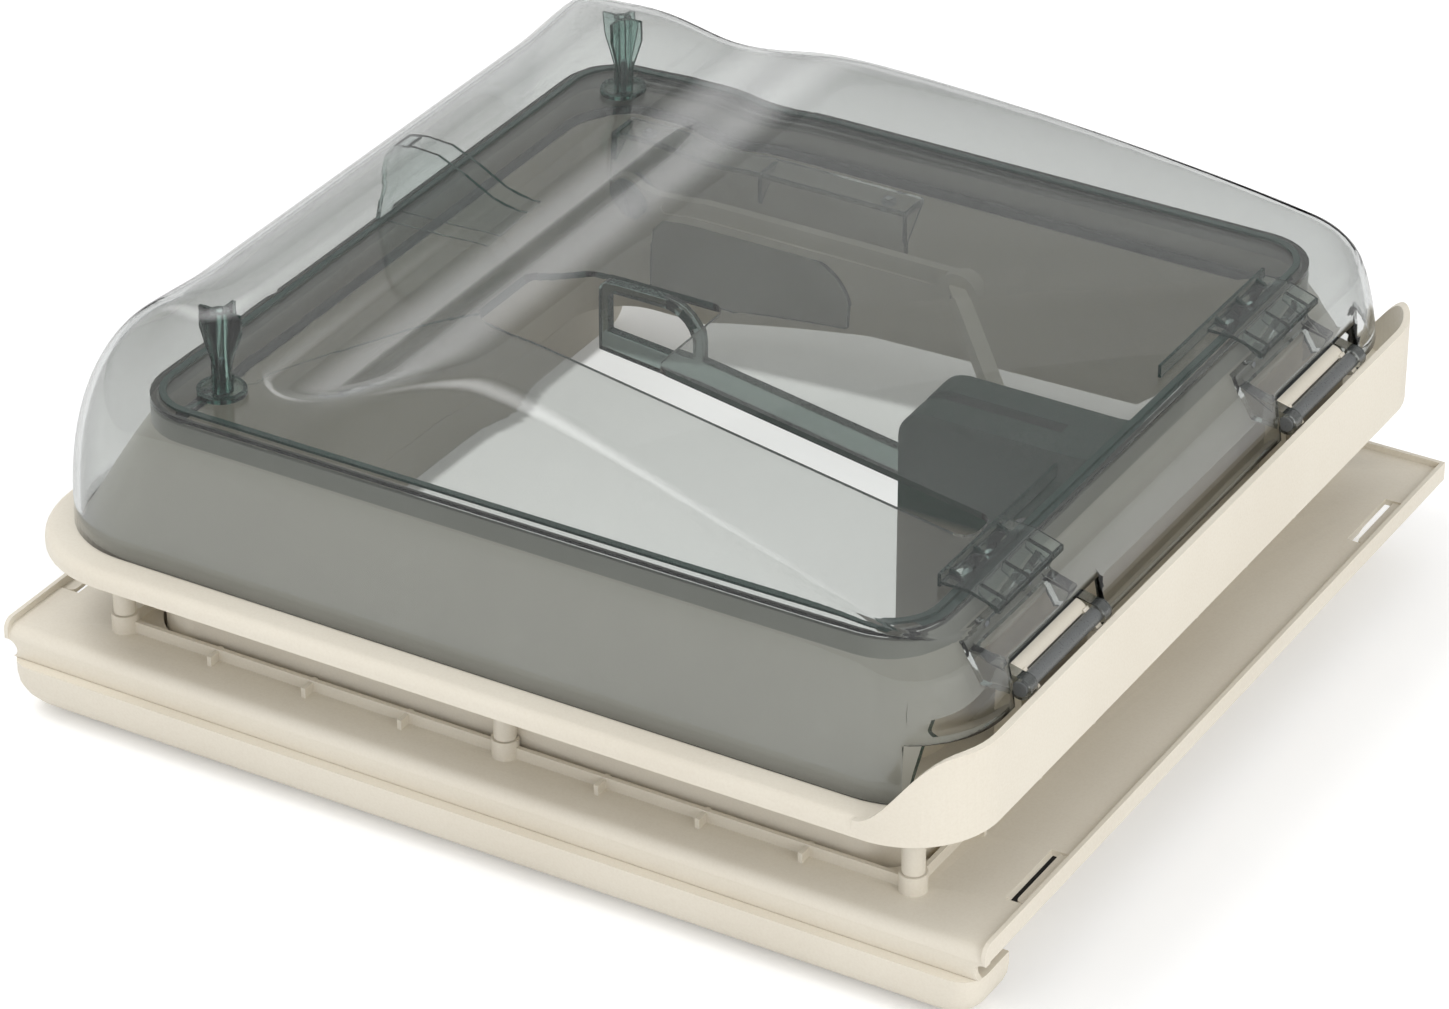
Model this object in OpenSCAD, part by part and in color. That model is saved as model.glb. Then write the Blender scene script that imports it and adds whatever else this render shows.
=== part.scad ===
// Caravan roof vent: a double dome, hinged on one side, over a roof frame and a lower frame.
// X runs from the opening side (-X) to the hinge side (+X), Y runs from front to rear, Z is up.
// The origin is at the bottom centre of the lower trim. Sizes are in millimetres.

/* [Roof] */
// Side of the square cut-out in the roof
cutout = 400; // [394:1:406]
// Roof thickness between the lower frame and the flange
roof_t = 38.3; // [28:0.1:55]

/* [Lower frame] */
// Reach of the lower frame beyond the cut-out along X
lower_over_x = 39.5; // [36:0.5:50]
// Reach of the lower frame beyond the cut-out along Y
lower_over_y = 18.3; // [16:0.1:26]
// Height of the outer rim
rim_h = 9; // [8:0.5:12]
// Depth of the tray below the rim
tray_depth = 3; // [2:0.5:5]
// Height of the drawn-in wall under the rim
recess_h = 9; // [6:0.5:12]
// How far that wall is drawn in
recess_in = 6; // [4:0.5:8]
// Wall thickness of the cream mouldings
wall = 3; // [2.4:0.1:3.6]
// Diameter of the screw bosses
boss_d = 12; // [11:0.5:13]
// Height of the bosses above the rim
boss_rise = 5.8; // [4:0.1:9]
// Height of the rail above the tray floor
rail_h = 5.5; // [4:0.5:7]
// Length of the cross ribs
rib_len = 14; // [8:1:18]
// Thickness of the rail and its ribs
rib_t = 2.2; // [1.6:0.1:3]
// Thickness of the lip round the tray
lip_t = 2; // [1.6:0.1:3]
// Radius of the rolled front edge
front_r = 5; // [3:0.5:6]
// Length of the clip slots
slot_len = 40; // [25:0.5:45]
// Width of the clip slots
clip_w = 9.7; // [8:0.1:11]
// Gap beside the tongue in a clip slot
clip_gap = 3.7; // [3:0.1:5]
// Distance of the clip slots from the corner bosses
slot_in = 33; // [24:1:60]

/* [Trim] */
// Height of the trim frame
trim_h = 25.5; // [23:0.5:32]
// How far the ends of the front bar are drawn in from the lower frame
trim_in = 3; // [2:0.5:4]
// Depth of the front bar from front to back
trim_bar_w = 30; // [28:1:34]
// How far the side bars are drawn in from the lower frame
trim_side_in = 30; // [28:1:34]
// Corner radius of the trim frame
trim_corner = 11; // [8:1:14]
// Reach of the trim frame beyond the lower frame at the front
trim_front_over = 3.7; // [1:0.1:6]
// How far the trim frame is drawn in from the lower frame at the rear
trim_rear_in = 6.3; // [4:0.1:8]
// Radius of its lower edges
trim_r = 20; // [14:1:22]
// Thickness of the flat rear bar
trim_bar_t = 4; // [3:0.5:5]

/* [Upper frame] */
// Reach of the flange beyond the cut-out at the opening side
over_open = 33.6; // [30:0.2:38]
// Reach of the flange beyond the cut-out at the hinge side
over_hinge = 27.6; // [25:0.2:32]
// Reach of the flange beyond the cut-out at front and rear
over_side = 26.3; // [24:0.1:30]
// Thickness of the flange
flange_t = 7.7; // [6.5:0.1:10]
// Corner radius at the opening side
corner_open = 51; // [40:1:60]
// Corner radius at the hinge side
corner_hinge = 40; // [34:1:50]
// Radius of the flange's upper edge
flange_r = 5; // [2:0.5:6]
// Height of the deflector wall above the flange
deflector_h = 32.5; // [24:0.5:33]
// Length of the deflector's curved ends
deflector_run = 38; // [28:1:46]
// Height of the upstand above the flange
upstand_h = 33; // [26:0.5:34]
// Diameter of the screw posts
post_d = 9.8; // [9:0.1:11]
// Corner radius of the neck
neck_r = 30; // [20:1:40]

/* [Outer dome] */
// Thickness of the outer dome
dome_t = 3; // [2.4:0.1:4]
// Distance of the dome's foot from the flange edge at front and rear
foot_side = 13.5; // [12:0.5:16]
// Distance of the dome's foot from the flange edge at the opening side
foot_open = 9; // [8:0.5:12]
// Corner radius of the dome's foot
foot_r = 45; // [38:1:55]
// Height of the lip above the flange
lip_h = 105.5; // [102:0.5:110]
// Height of the valley above the flange
valley_h = 88; // [82:0.5:96]
// Height of the crest above the flange
crest_h = 107.5; // [104:0.5:112]
// Height of the slope's end at the hinge side
slope_h = 71; // [70:0.5:76]
// Distance of the lip from the dome's foot
lip_at = 64.6; // [58:0.2:70]
// Distance of the valley from the dome's foot
valley_at = 112; // [104:1:122]
// Distance of the crest from the dome's foot
crest_at = 192; // [176:1:205]

/* [Inner dome] */
// Height of the inner pane above the flange
pane_h = 62; // [60:0.5:64]
// Thickness of the inner pane
pane_t = 3; // [2.4:0.1:3.6]
// Depth of the step below the pane's rim
rim_drop = 12; // [8:0.5:14]
// Reach of the pane beyond the neck along X
pane_over = 1; // [0:0.5:3]
// How far the pane is drawn in from the neck along Y
pane_in = 1; // [0:0.5:3]
// Distance of the spacer posts from the pane's edges
post_in = 32; // [28:1:40]
// Distance of the lip spacer from the dome's foot
spacer_in = 35.5; // [35:0.5:38]
// Width of the lip spacer
spacer_w = 13; // [10:0.5:18]
// Length of the lip spacer along the pane
spacer_len = 61; // [54:1:66]
// Corner radius of the pane
pane_r = 28; // [20:1:36]

/* [Hinge] */
// Wall of the lugs round the rod
lug_wall = 1.5; // [1.2:0.1:2]
// Height of the hinge axis above the flange
hinge_up = 34; // [32:0.5:35]
// Distance of the hinges from the middle
hinge_y = 121; // [112:1:128]
// Diameter of the hinge rod
rod_d = 7; // [6:0.5:7]
// Length of the hinge block
block_len = 57; // [48:1:62]
// Thickness of the leaf's arms
leaf_t = 6; // [4:0.5:7]
// Greatest opening angle
open_angle = 50; // [35:1:52]

/* [Stay] */
// Distance of the stay from the middle
stay_y = 119; // [112:1:126]
// Reach of the stay's sliding screw to the opening side
stay_reach = 127; // [118:1:136]
// Width of the stay
stay_w = 13; // [11:0.5:15]
// Thickness of the stay
stay_t = 5; // [4:0.5:6]
// Diameter of the sliding screw
slide_d = 6; // [5:0.5:6.5]
// Thickness of the guide rail
rail_t = 4; // [3:0.5:5]
// Depth of the grip plate
grip_h = 40; // [28:1:42]
// Length of the grip plate
grip_len = 106; // [80:1:112]

/* [Lever] */
// Distance of the lever's pivot from the neck wall
pivot_in = 36; // [30:1:44]
// Height of the lever's pivot above the flange
pivot_up = 2.5; // [0:0.5:6]
// Reach of the finger loop to the opening side
loop_reach = 71; // [66:1:76]
// Length of the finger loop
loop_len = 53; // [44:1:55]
// Height of the bar
bar_h = 12; // [10:0.5:14]
// Thickness of the lever
lever_t = 5; // [4:0.5:6]
// Width of the bars of the finger loop
loop_bar = 5; // [4:0.5:6]

/* [Fits] */
// Radial clearance of turning and sliding fits
run_fit = 0.05; // [0.03:0.01:0.09]
// Clearance between pieces that seat on each other
seat = 0.2; // [0.15:0.05:0.3]
// Clearance between pieces that pass each other
pass = 1; // [0.8:0.1:1.4]
// Diameter of the screws' shanks
screw_d = 3.8; // [3.4:0.1:4]

/* [Hidden] */
$fn = 48;
eps = 0.01;

// Levels
trim_top = trim_h;
rim_bot = trim_top + recess_h;
rim_top = rim_bot + rim_h;
floor_top = rim_top - tray_depth;
floor_bot = floor_top - wall;
boss_top = rim_top + boss_rise;
flange_bot = rim_top + roof_t;
flange_top = flange_bot + flange_t;
dome_foot = flange_top + 3 * seat;
pane_top = flange_top + pane_h;
pane_bot = pane_top - pane_t;
hinge_z = flange_top + hinge_up;

// Plan sizes that follow the cut-out
flange_open = cutout / 2 + over_open;
flange_hinge = cutout / 2 + over_hinge;
flange_y = cutout + 2 * over_side;
lug_r = rod_d / 2 + lug_wall;
hinge_x = flange_hinge - wall - lug_r - 2 * seat;
lower_x = cutout + 2 * lower_over_x;
lower_y = cutout + 2 * lower_over_y;
trim_front = lower_y / 2 + trim_front_over;
trim_rear = lower_y / 2 - trim_rear_in;
boss_c = cutout / 2 - boss_d / 2 - pass;
neck_out = boss_c - 4;
neck_in = neck_out - wall;
pane_x = neck_out + pane_over;
pane_y = neck_out - pane_in;
slot_y = boss_c - slot_in;
neck_bot = trim_top + 4;
collar_in = neck_out + pass;
collar_t = 2.2;
upstand_top = flange_top + upstand_h;
seal_h = 4;
roof_seal_t = 3;

// Foot of the outer dome
foot_x0 = flange_open - foot_open;
foot_x1 = flange_hinge - wall - 2 * pass - 1;
foot_y = flange_y / 2 - foot_side;
lip_x = lip_at - foot_x0;
valley_x = valley_at - foot_x0;
crest_x = crest_at - foot_x0;
slope_x = pane_x - 4;
side_h = 114;
side_w = 80;
side_n = 2.45;
edge_blend = 8;
hinge_edge = flange_top + 28;

// Skirt of the inner dome
skirt_in = dome_t + 1.5 * seat;
skirt_x0 = foot_x0 - skirt_in;
skirt_x1 = foot_x1 - skirt_in;
skirt_y = foot_y - skirt_in;
skirt_top = pane_top - rim_drop;
hinge_cut_x = neck_out + 6;

// Hand opening in the inner pane: a window round the finger loop and a slot along the lever
window_room = 31;
window_gap = 6;
window_front = 53;
window_cut_x = 20;
window_cut_y = 17;
window_r = 7;
window_x0 = -loop_reach - window_room;
window_x1 = loop_len - loop_reach + window_gap;
window_y0 = -window_front;
window_y1 = lever_t / 2 + window_gap - 0.5;
slot_slant = 56;
slot_w = 20;
slot_end_x = pane_x - slot_w;
slot_end_y0 = window_y0 - slot_slant;
slot_end_y1 = slot_end_y0 + slot_w;

// Hinge
block_w = 12;
block_x1 = hinge_x - 2.4;
block_x0 = block_x1 - block_w;
block_top = hinge_z + 6;
lug_t = 4;
arm_y = block_len / 2 + 2 * seat;
rod_len = 2 * (arm_y + leaf_t) + 1.2;
notch_y = arm_y + leaf_t + 4;
notch_top = flange_top + 47;
shoe_z0 = block_top + 2.5;
shoe_z1 = skirt_top - 1;
shoe_t = 2.4;

// Stay: pivot, sliding screw and hinge lie on one line, and the stay is half as long as that line,
// so the stay turns twice as far as the dome.
stay_len = (hinge_x + stay_reach) / 2;
stay_px = hinge_x - stay_len;
stay_y0 = stay_y - stay_t / 2;
stay_y1 = stay_y + stay_t / 2;
rail_y0 = stay_y1 + 2;
rail_y1 = rail_y0 + rail_t;
slot_x0 = -stay_reach;
slot_x1 = hinge_x - 2 * stay_len * cos(open_angle);
pivot_d = 8;
washer_t = 1.5;

// Lever and its housing
pivot_x = neck_in - pivot_in;
pivot_z = flange_top + pivot_up;
house_front = 62;
house_x0 = pivot_x - house_front;
house_x1 = neck_in - seat;
house_y = 19;
house_z0 = neck_bot + 1;
house_z1 = hinge_z + 18.5;
house_t = 2.5;
house_r = 14;
loop_top = pane_top + 2;
bar_end_z = pivot_z + 27;
loop_x0 = -loop_reach;
loop_x1 = loop_len - loop_reach;

cream = "#e5ddcf";
smoke = "#8d8f8c";
clear = "#cfd8d6";
grey = "#4a4d4f";
steel = "#b9bcc0";
rubber = "#2b2b2b";

// Rectangle with its own corner radius on each X side
module rounded_rect(x0, x1, y0, y1, r0, r1) {
  translate([x0 + r0, y0]) square([x1 - r1 - x0 - r0, y1 - y0]);
  translate([x0, y0 + r0]) square([r0, y1 - y0 - 2 * r0]);
  translate([x1 - r1, y0 + r1]) square([r1, y1 - y0 - 2 * r1]);
  for (y = [y0 + r0, y1 - r0]) translate([x0 + r0, y]) circle(r0);
  for (y = [y0 + r1, y1 - r1]) translate([x1 - r1, y]) circle(r1);
}

// Centred rectangle with one corner radius
module rounded_box(hx, hy, r) rounded_rect(-hx, hx, -hy, hy, r, r);

// Outline of the flange, drawn in by a distance
module flange_outline(inset = 0) {
  rounded_rect(-flange_open + inset, flange_hinge - inset, -flange_y / 2 + inset, flange_y / 2 - inset,
    corner_open - inset, corner_hinge - inset);
}

// Flat plate between two levels
module plate(z0, z1) translate([0, 0, z0]) linear_extrude(z1 - z0) children();

// Profile in X and Z, extruded along Y between two places
module along_y(y0, y1) translate([0, y1, 0]) rotate([90, 0, 0]) linear_extrude(y1 - y0) children();

// Profile in Y and Z, extruded along X between two places
module along_x(x0, x1) translate([x0, 0, 0]) rotate([90, 0, 90]) linear_extrude(x1 - x0) children();

// Cylinder along Y between two places
module pin_y(x, z, d, y0, y1) translate([x, y1, z]) rotate([90, 0, 0]) cylinder(d = d, h = y1 - y0);

// Corner points of a polygon with each corner rounded to a radius
function unit(v) = v / norm(v);
function corner_arc(a, b, c, r, n = 6) =
  let (u = unit(a - b), w = unit(c - b), half = acos(u * w) / 2, mid = unit(u + w),
       centre = b + mid * r / sin(half), start = b + u * r / tan(half) - centre,
       end = b + w * r / tan(half) - centre,
       a0 = atan2(start[1], start[0]), turn = atan2(end[1], end[0]) - a0,
       sweep = turn > 180 ? turn - 360 : turn < -180 ? turn + 360 : turn)
  [for (k = [0:n]) centre + r * [cos(a0 + sweep * k / n), sin(a0 + sweep * k / n)]];
function rounded_points(p, r) =
  [for (i = [0:len(p) - 1]) each corner_arc(p[(i + len(p) - 1) % len(p)], p[i], p[(i + 1) % len(p)], r)];

// Level ring of points round a rectangle with its own corner radius on each X side
function ring(x0, x1, y0, y1, r0, r1, z, n = 8) = concat(
  [for (k = [0:n]) [x1 - r1 + r1 * sin(90 * k / n), y0 + r1 - r1 * cos(90 * k / n), z]],
  [for (k = [0:n]) [x1 - r1 + r1 * cos(90 * k / n), y1 - r1 + r1 * sin(90 * k / n), z]],
  [for (k = [0:n]) [x0 + r0 - r0 * sin(90 * k / n), y1 - r0 + r0 * cos(90 * k / n), z]],
  [for (k = [0:n]) [x0 + r0 - r0 * cos(90 * k / n), y0 + r0 - r0 * sin(90 * k / n), z]]);

// Solid through a stack of such rings
module loft(rings) {
  m = len(rings[0]);
  last = len(rings) - 1;
  faces = concat(
    [[for (k = [0:m - 1]) k]],
    [for (i = [0:last - 1], k = [0:m - 1])
      let (a = i * m + k, b = i * m + (k + 1) % m)
      each [[a, a + m, b + m], [a, b + m, b]]],
    [[for (k = [m - 1:-1:0]) last * m + k]]);
  polyhedron([for (r = rings) each r], faces, convexity = 4);
}

// Screw that stands on its head, pointing up
module screw_up(x, y, z, len, d, head_d, head_h) {
  translate([x, y, z]) cylinder(d = head_d, h = head_h);
  translate([x, y, z + head_h]) cylinder(d = d, h = len);
}

// The eight places of the clamp screws
clamp_places = [for (x = [-1:1], y = [-1:1]) if (x != 0 || y != 0) [x * boss_c, y * boss_c]];

// Height of the outer dome's top along X: lip, valley, crest and slope
function ease(u) = (1 - cos(180 * u)) / 2;
function wave(x) =
  x < lip_x ? lip_h :
  x < valley_x ? lip_h + (valley_h - lip_h) * ease((x - lip_x) / (valley_x - lip_x)) :
  x < crest_x ? valley_h + (crest_h - valley_h) * ease((x - valley_x) / (crest_x - valley_x)) :
  crest_h - (crest_h - slope_h) * pow((x - crest_x) / (slope_x - crest_x), 1.25);

// Height of the dome's side wall at a distance from its foot
function side(d) = side_h * pow(1 - pow(1 - min(max(d, 0), side_w) / side_w, side_n), 1 / side_n);

// Smaller of two heights, with the edge between them rounded
function soft_min(a, b) =
  let (h = max(edge_blend - abs(a - b), 0) / edge_blend) min(a, b) - h * h * edge_blend / 4;

// Distance of a place from the foot of the dome, drawn in by the thickness t
function foot_distance(x, y, t) =
  let (x0 = -foot_x0 + t, x1 = foot_x1 - t, r = foot_r - t,
       qx = abs(x - (x0 + x1) / 2) - (x1 - x0) / 2 + r, qy = abs(y) - foot_y + t + r)
  r - norm([max(qx, 0), max(qy, 0)]) - min(max(qx, qy), 0);
function dome_height(x, y, t) = soft_min(side(foot_distance(x, y, t)), wave(x) - t);

// Half width of the foot at a place along X
function foot_width(x, t) =
  let (x0 = -foot_x0 + t, x1 = foot_x1 - t, r = foot_r - t, q = max(x0 + r - x, x - x1 + r, 0))
  foot_y - t - r + sqrt(max(r * r - q * q, 0));

// Places between two ends, close together near both
steps_in = [0, 0.7, 2.2, 5, 9.5, 16, 26, 40];
dome_n_x = 26;
dome_n_y = 8;
function stations(a, b, n) =
  let (k = len(steps_in) - 1, s = steps_in[k])
  concat([for (d = steps_in) a + d], [for (i = [1:n - 1]) a + s + (b - a - 2 * s) * i / n],
    [for (i = [0:k]) b - steps_in[k - i]]);
function dome_skin(t, n_x, n_y) =
  [for (x = stations(-foot_x0 + t, foot_x1 - t, n_x))
    let (w = foot_width(x, t))
    for (y = stations(-w, w, n_y)) [x, y, dome_foot + dome_height(x, y, t)]];

// Shell between an outer and an inner skin that have the same grid of points
module shell(outer, inner, n_i, n_j) {
  n = n_i * n_j;
  edge = concat([for (i = [0:n_i - 2]) i * n_j], [for (j = [0:n_j - 2]) (n_i - 1) * n_j + j],
    [for (i = [n_i - 1:-1:1]) i * n_j + n_j - 1], [for (j = [n_j - 1:-1:1]) j]);
  m = len(edge);
  faces = [
    for (k = [0:m - 1])
      let (a = edge[k], b = edge[(k + 1) % m])
      each [[a, b, n + b], [a, n + b, n + a]],
    for (i = [0:n_i - 2], j = [0:n_j - 2])
      let (a = i * n_j + j, b = a + n_j)
      each [[a, a + 1, b + 1], [a, b + 1, b], [n + a, n + b + 1, n + a + 1], [n + a, n + b, n + b + 1]]
  ];
  polyhedron(concat(outer, inner), faces, convexity = 6);
}

// Room for the hinges: the raised lower edge at the hinge side, and a notch at each hinge
module hinge_room(notch_half, top) {
  translate([hinge_cut_x, -flange_y / 2, flange_bot]) cube([60, flange_y, hinge_edge - flange_bot]);
  for (s = [-1, 1])
    translate([hinge_cut_x, s * hinge_y - notch_half, flange_bot])
      cube([60, 2 * notch_half, top - flange_bot]);
}

module outer_dome() color(clear, 0.4) {
  n_i = 2 * len(steps_in) + dome_n_x - 1;
  n_j = 2 * len(steps_in) + dome_n_y - 1;
  difference() {
    shell(dome_skin(0, dome_n_x, dome_n_y), dome_skin(dome_t, dome_n_x, dome_n_y), n_i, n_j);
    hinge_room(notch_y, notch_top);
  }
}

// Solid of the inner dome, drawn in by a distance, from a level up to its top
function skirt_ring(inset, z) = ring(-skirt_x0 + inset, skirt_x1 - inset, -skirt_y + inset, skirt_y - inset,
  foot_r - skirt_in - inset, foot_r - skirt_in - inset, z);
function pane_ring(inset, z) =
  ring(-pane_x + inset, pane_x - inset, -pane_y + inset, pane_y - inset, pane_r - inset, pane_r - inset, z);
module inner_form() loft([skirt_ring(0, dome_foot), pane_ring(0, skirt_top), pane_ring(0, pane_top)]);
module inner_hollow() loft([skirt_ring(pane_t, dome_foot - 2), skirt_ring(pane_t, dome_foot),
  pane_ring(pane_t, skirt_top), pane_ring(pane_t, pane_bot)]);

// Hand opening in the pane
module hand_opening() {
  slope = (slot_end_y0 - window_y0) / (slot_end_x - window_x0);
  inner_y = window_y0 + slope * (window_x1 - window_x0) + slot_end_y1 - slot_end_y0;
  polygon(rounded_points([
    [window_x0, window_y0], [slot_end_x, slot_end_y0], [slot_end_x, slot_end_y1],
    [window_x1, inner_y], [window_x1, window_y1], [window_x0 + window_cut_x, window_y1],
    [window_x0, window_y1 - window_cut_y]
  ], window_r));
}

// Raised bead along the pane's edge
bead_in = 4;
bead_w = 3;
bead_h = 1.2;
module pane_bead(sink, room) plate(pane_top - sink, pane_top + bead_h + room) difference() {
  rounded_box(pane_x - bead_in + room, pane_y - bead_in + room, pane_r - bead_in + room);
  rounded_box(pane_x - bead_in - bead_w - room, pane_y - bead_in - bead_w - room, pane_r - bead_in - bead_w - room);
}

module inner_dome() color(smoke, 0.6) difference() {
  union() {
    inner_form();
    pane_bead(eps, 0);
  }
  inner_hollow();
  plate(pane_bot - 1, pane_top + 1) hand_opening();
  hinge_room(block_len / 2 + 2.5, shoe_z0 - 1);
  for (s = [-1, 1]) translate([0, s * hinge_y, 0]) leaf_rivet_holes();
  for (s = [-1, 1])
    translate([post_x, s * post_y, pane_bot - 1]) cylinder(d = 3.2, h = pane_t + 2);
}

// Spacer posts between the domes: four flared fins on a tube with a ring foot
post_x = post_in - pane_x;
post_y = pane_y - 0.84 * post_in;
post_tube = 8;
post_foot = 22;
post_screw_len = 20;
post_screw_d = 3;
fin_w = 10;
post_top = dome_foot - 1 + min([for (a = [45:90:315])
  dome_height(post_x + fin_w * cos(a), post_y + fin_w * sin(a), dome_t)]);
module spacer_post(s) translate([post_x, s * post_y, pane_top + seat]) {
  h = post_top - pane_top - seat;
  difference() {
    union() {
      cylinder(d = post_tube, h = h);
      difference() {
        cylinder(d = post_foot, h = 2.4);
        translate([0, 0, 1.2]) cylinder(d = post_foot - 4, h = 2);
      }
      for (a = [45:90:315]) rotate([0, 0, a])
        along_y(-0.8, 0.8) polygon([[2, 0], [5, 0], [5, h * 0.35], [fin_w, h * 0.75], [fin_w, h], [2, h]]);
    }
    translate([0, 0, -1]) cylinder(d = 3.2, h = h + 2);
  }
}
module spacer_post_front() color(clear, 0.7) spacer_post(-1);
module spacer_post_rear() color(clear, 0.7) spacer_post(1);
module post_screws() color(steel) for (s = [-1, 1]) screw_up(post_x, s * post_y, pane_bot - 2 - seat, post_screw_len, post_screw_d, 2 * post_screw_d, 2);

// Clear spacer in the middle of the lip: two webs up to the dome's underside, joined by a wall at the lip's end
spacer_y = 6;
spacer_t = 1.6;
spacer_lean = 8;
spacer_r = 15;
spacer_reach = 20;
spacer_x0 = spacer_in - foot_x0;
spacer_x1 = spacer_x0 + spacer_len;
spacer_base = pane_top + seat;
spacer_bend = spacer_x0 + spacer_lean;
spacer_run = spacer_bend + spacer_r;
dome_under = [for (x = stations(-foot_x0 + dome_t, foot_x1 - dome_t, dome_n_x))
  [x, dome_foot + dome_height(x, spacer_y, dome_t)]];
function spacer_roof(x) = lookup(x, dome_under) - 3 * seat;
spacer_x2 = spacer_x1 + spacer_reach;
function spacer_end(t, z) = corner_arc([spacer_x0 + t, z], [spacer_bend + t, spacer_roof(spacer_bend) - t],
  [spacer_run, spacer_roof(spacer_run) - t], spacer_r - t);
module lip_spacer() color(clear, 0.7) translate([0, spacer_y, 0]) difference() {
  along_y(-spacer_w / 2, spacer_w / 2) polygon(concat([[spacer_x1, spacer_base], [spacer_x0, spacer_base]],
    spacer_end(0, spacer_base),
    [for (p = dome_under) if (p[0] > spacer_run && p[0] < spacer_x2) [p[0], spacer_roof(p[0])]],
    [[spacer_x2, spacer_roof(spacer_x2)]]));
  along_y(-spacer_w / 2 + spacer_t, spacer_w / 2 - spacer_t) polygon(concat(
    [[spacer_x1 + 2 * spacer_reach, spacer_base - 1], [spacer_x0 + spacer_t, spacer_base - 1]],
    spacer_end(spacer_t, spacer_base - 1),
    [[spacer_run - spacer_t, dome_foot + crest_h], [spacer_x1 + 2 * spacer_reach, dome_foot + crest_h]]));
  translate([0, -spacer_y, 0]) pane_bead(1, seat);
}

// Clear bracket on the pane's edge: a plate bent down over the edge, three hook ribs and a long back flange
bracket_back = 14;
bracket_nose = 13;
bracket_len = 56;
bracket_t = 1.6;
bracket_bend = 4;
bracket_flange = 6;
bracket_run = 44;
bracket_hook = 6;
bracket_pitch = 20;
bracket_lift = 1.4;
bracket_x0 = pane_x - bracket_back;
bracket_x1 = pane_x + bracket_nose;
module rim_bracket(s) translate([0, s * (hinge_y - 2), pane_top]) {
  top = bracket_lift + bracket_t;
  drop = bracket_lift - bracket_bend;
  along_y(-bracket_len / 2, bracket_len / 2) {
    polygon([[bracket_x0, bracket_lift], [pane_x, bracket_lift], [bracket_x1, drop],
      [bracket_x1, drop + bracket_t], [pane_x, top], [bracket_x0, top]]);
    // lip along the outer edge
    translate([bracket_x1 - bracket_t, drop - 1.2]) square([bracket_t, bracket_t + 1.2]);
  }
  // back flange, longer toward the middle
  translate([bracket_x0, s > 0 ? -bracket_len / 2 - bracket_run : -bracket_len / 2, seat])
    cube([bracket_t, bracket_len + bracket_run, bracket_flange]);
  for (y = [-bracket_pitch, 0, bracket_pitch]) {
    along_y(y - 1.1, y + 1.1) polygon([[pane_x + 1, bracket_lift - 0.2], [bracket_x1 - 0.4, drop + 0.4],
      [bracket_x1 - 2.4, drop - bracket_hook], [bracket_x1 - 4.4, drop - bracket_hook], [pane_x + 1, drop - 1]]);
    along_y(y - 0.9, y + 0.9) polygon([[bracket_x0, seat], [bracket_x0, bracket_flange],
      [pane_x - 7.5, top - 0.2], [pane_x - 7.5, seat]]);
  }
}
module rim_bracket_front() color(clear, 0.7) rim_bracket(-1);
module rim_bracket_rear() color(clear, 0.7) rim_bracket(1);

// Hinge rod, which turns with the dome in the lugs of the hinge block
module hinge_rod(s) pin_y(hinge_x, hinge_z, rod_d, s * hinge_y - rod_len / 2, s * hinge_y + rod_len / 2);
module hinge_rod_front() color(grey) hinge_rod(-1);
module hinge_rod_rear() color(grey) hinge_rod(1);

// Outer face of the skirt at a level on the hinge side
function skirt_face(z) = pane_x + (skirt_x1 - pane_x) * (skirt_top - z) / (skirt_top - dome_foot);

// Hinge leaf: a thin shoe along the inner dome's skirt, and at each end an arm with a lug round the rod
skirt_lean = atan((skirt_x1 - pane_x) / (skirt_top - dome_foot));
arm_z0 = hinge_z - 3;
module hinge_leaf(s) translate([0, s * hinge_y, 0]) difference() {
  union() {
    along_y(-arm_y - leaf_t, arm_y + leaf_t) polygon([
      [skirt_face(shoe_z0) + seat, shoe_z0], [skirt_face(shoe_z0) + seat + shoe_t, shoe_z0],
      [skirt_face(shoe_z1) + seat + shoe_t, shoe_z1], [skirt_face(shoe_z1) + seat, shoe_z1]
    ]);
    for (y = [-arm_y - leaf_t, arm_y]) along_y(y, y + leaf_t) {
      translate([hinge_x, hinge_z]) circle(lug_r);
      polygon([[skirt_face(shoe_z0 + 2) + seat, shoe_z0 + 2], [skirt_face(arm_z0) + seat, arm_z0],
        [hinge_x - 1, hinge_z - lug_r + 0.6], [hinge_x + 1, hinge_z + lug_r - 0.6],
        [skirt_face(shoe_z0 + 2) + seat + shoe_t - 0.4, shoe_z0 + 2]]);
    }
  }
  pin_y(hinge_x, hinge_z, rod_d, -rod_len, rod_len);
  leaf_rivet_holes();
}

// Rivets square to the skirt, with their heads inside the dome and their ends flush with the shoe
rivet_z = (shoe_z0 + shoe_z1) / 2;
rivet_y = block_len / 2 - 10.5;
rivet_d = 3;
skirt_n = pane_t * cos(skirt_lean);
shoe_n = (shoe_t + seat) * cos(skirt_lean);
module at_rivet(y) translate([skirt_face(rivet_z), y, rivet_z]) rotate([0, 90 - skirt_lean, 0]) children();
module leaf_rivet_holes() for (y = [-rivet_y, rivet_y]) at_rivet(y)
  translate([0, 0, -skirt_n - 2]) cylinder(d = rivet_d + seat, h = skirt_n + shoe_n + 4);
module hinge_leaf_front() color(smoke, 0.8) hinge_leaf(-1);
module hinge_leaf_rear() color(smoke, 0.8) hinge_leaf(1);

module leaf_rivets() color(steel) for (s = [-1, 1], y = [-rivet_y, rivet_y]) at_rivet(s * hinge_y + y) {
  translate([0, 0, -skirt_n - seat]) cylinder(d = rivet_d, h = skirt_n + seat + shoe_n);
  translate([0, 0, -skirt_n - seat - 1.4]) cylinder(d = 2 * rivet_d, h = 1.4);
}

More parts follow.
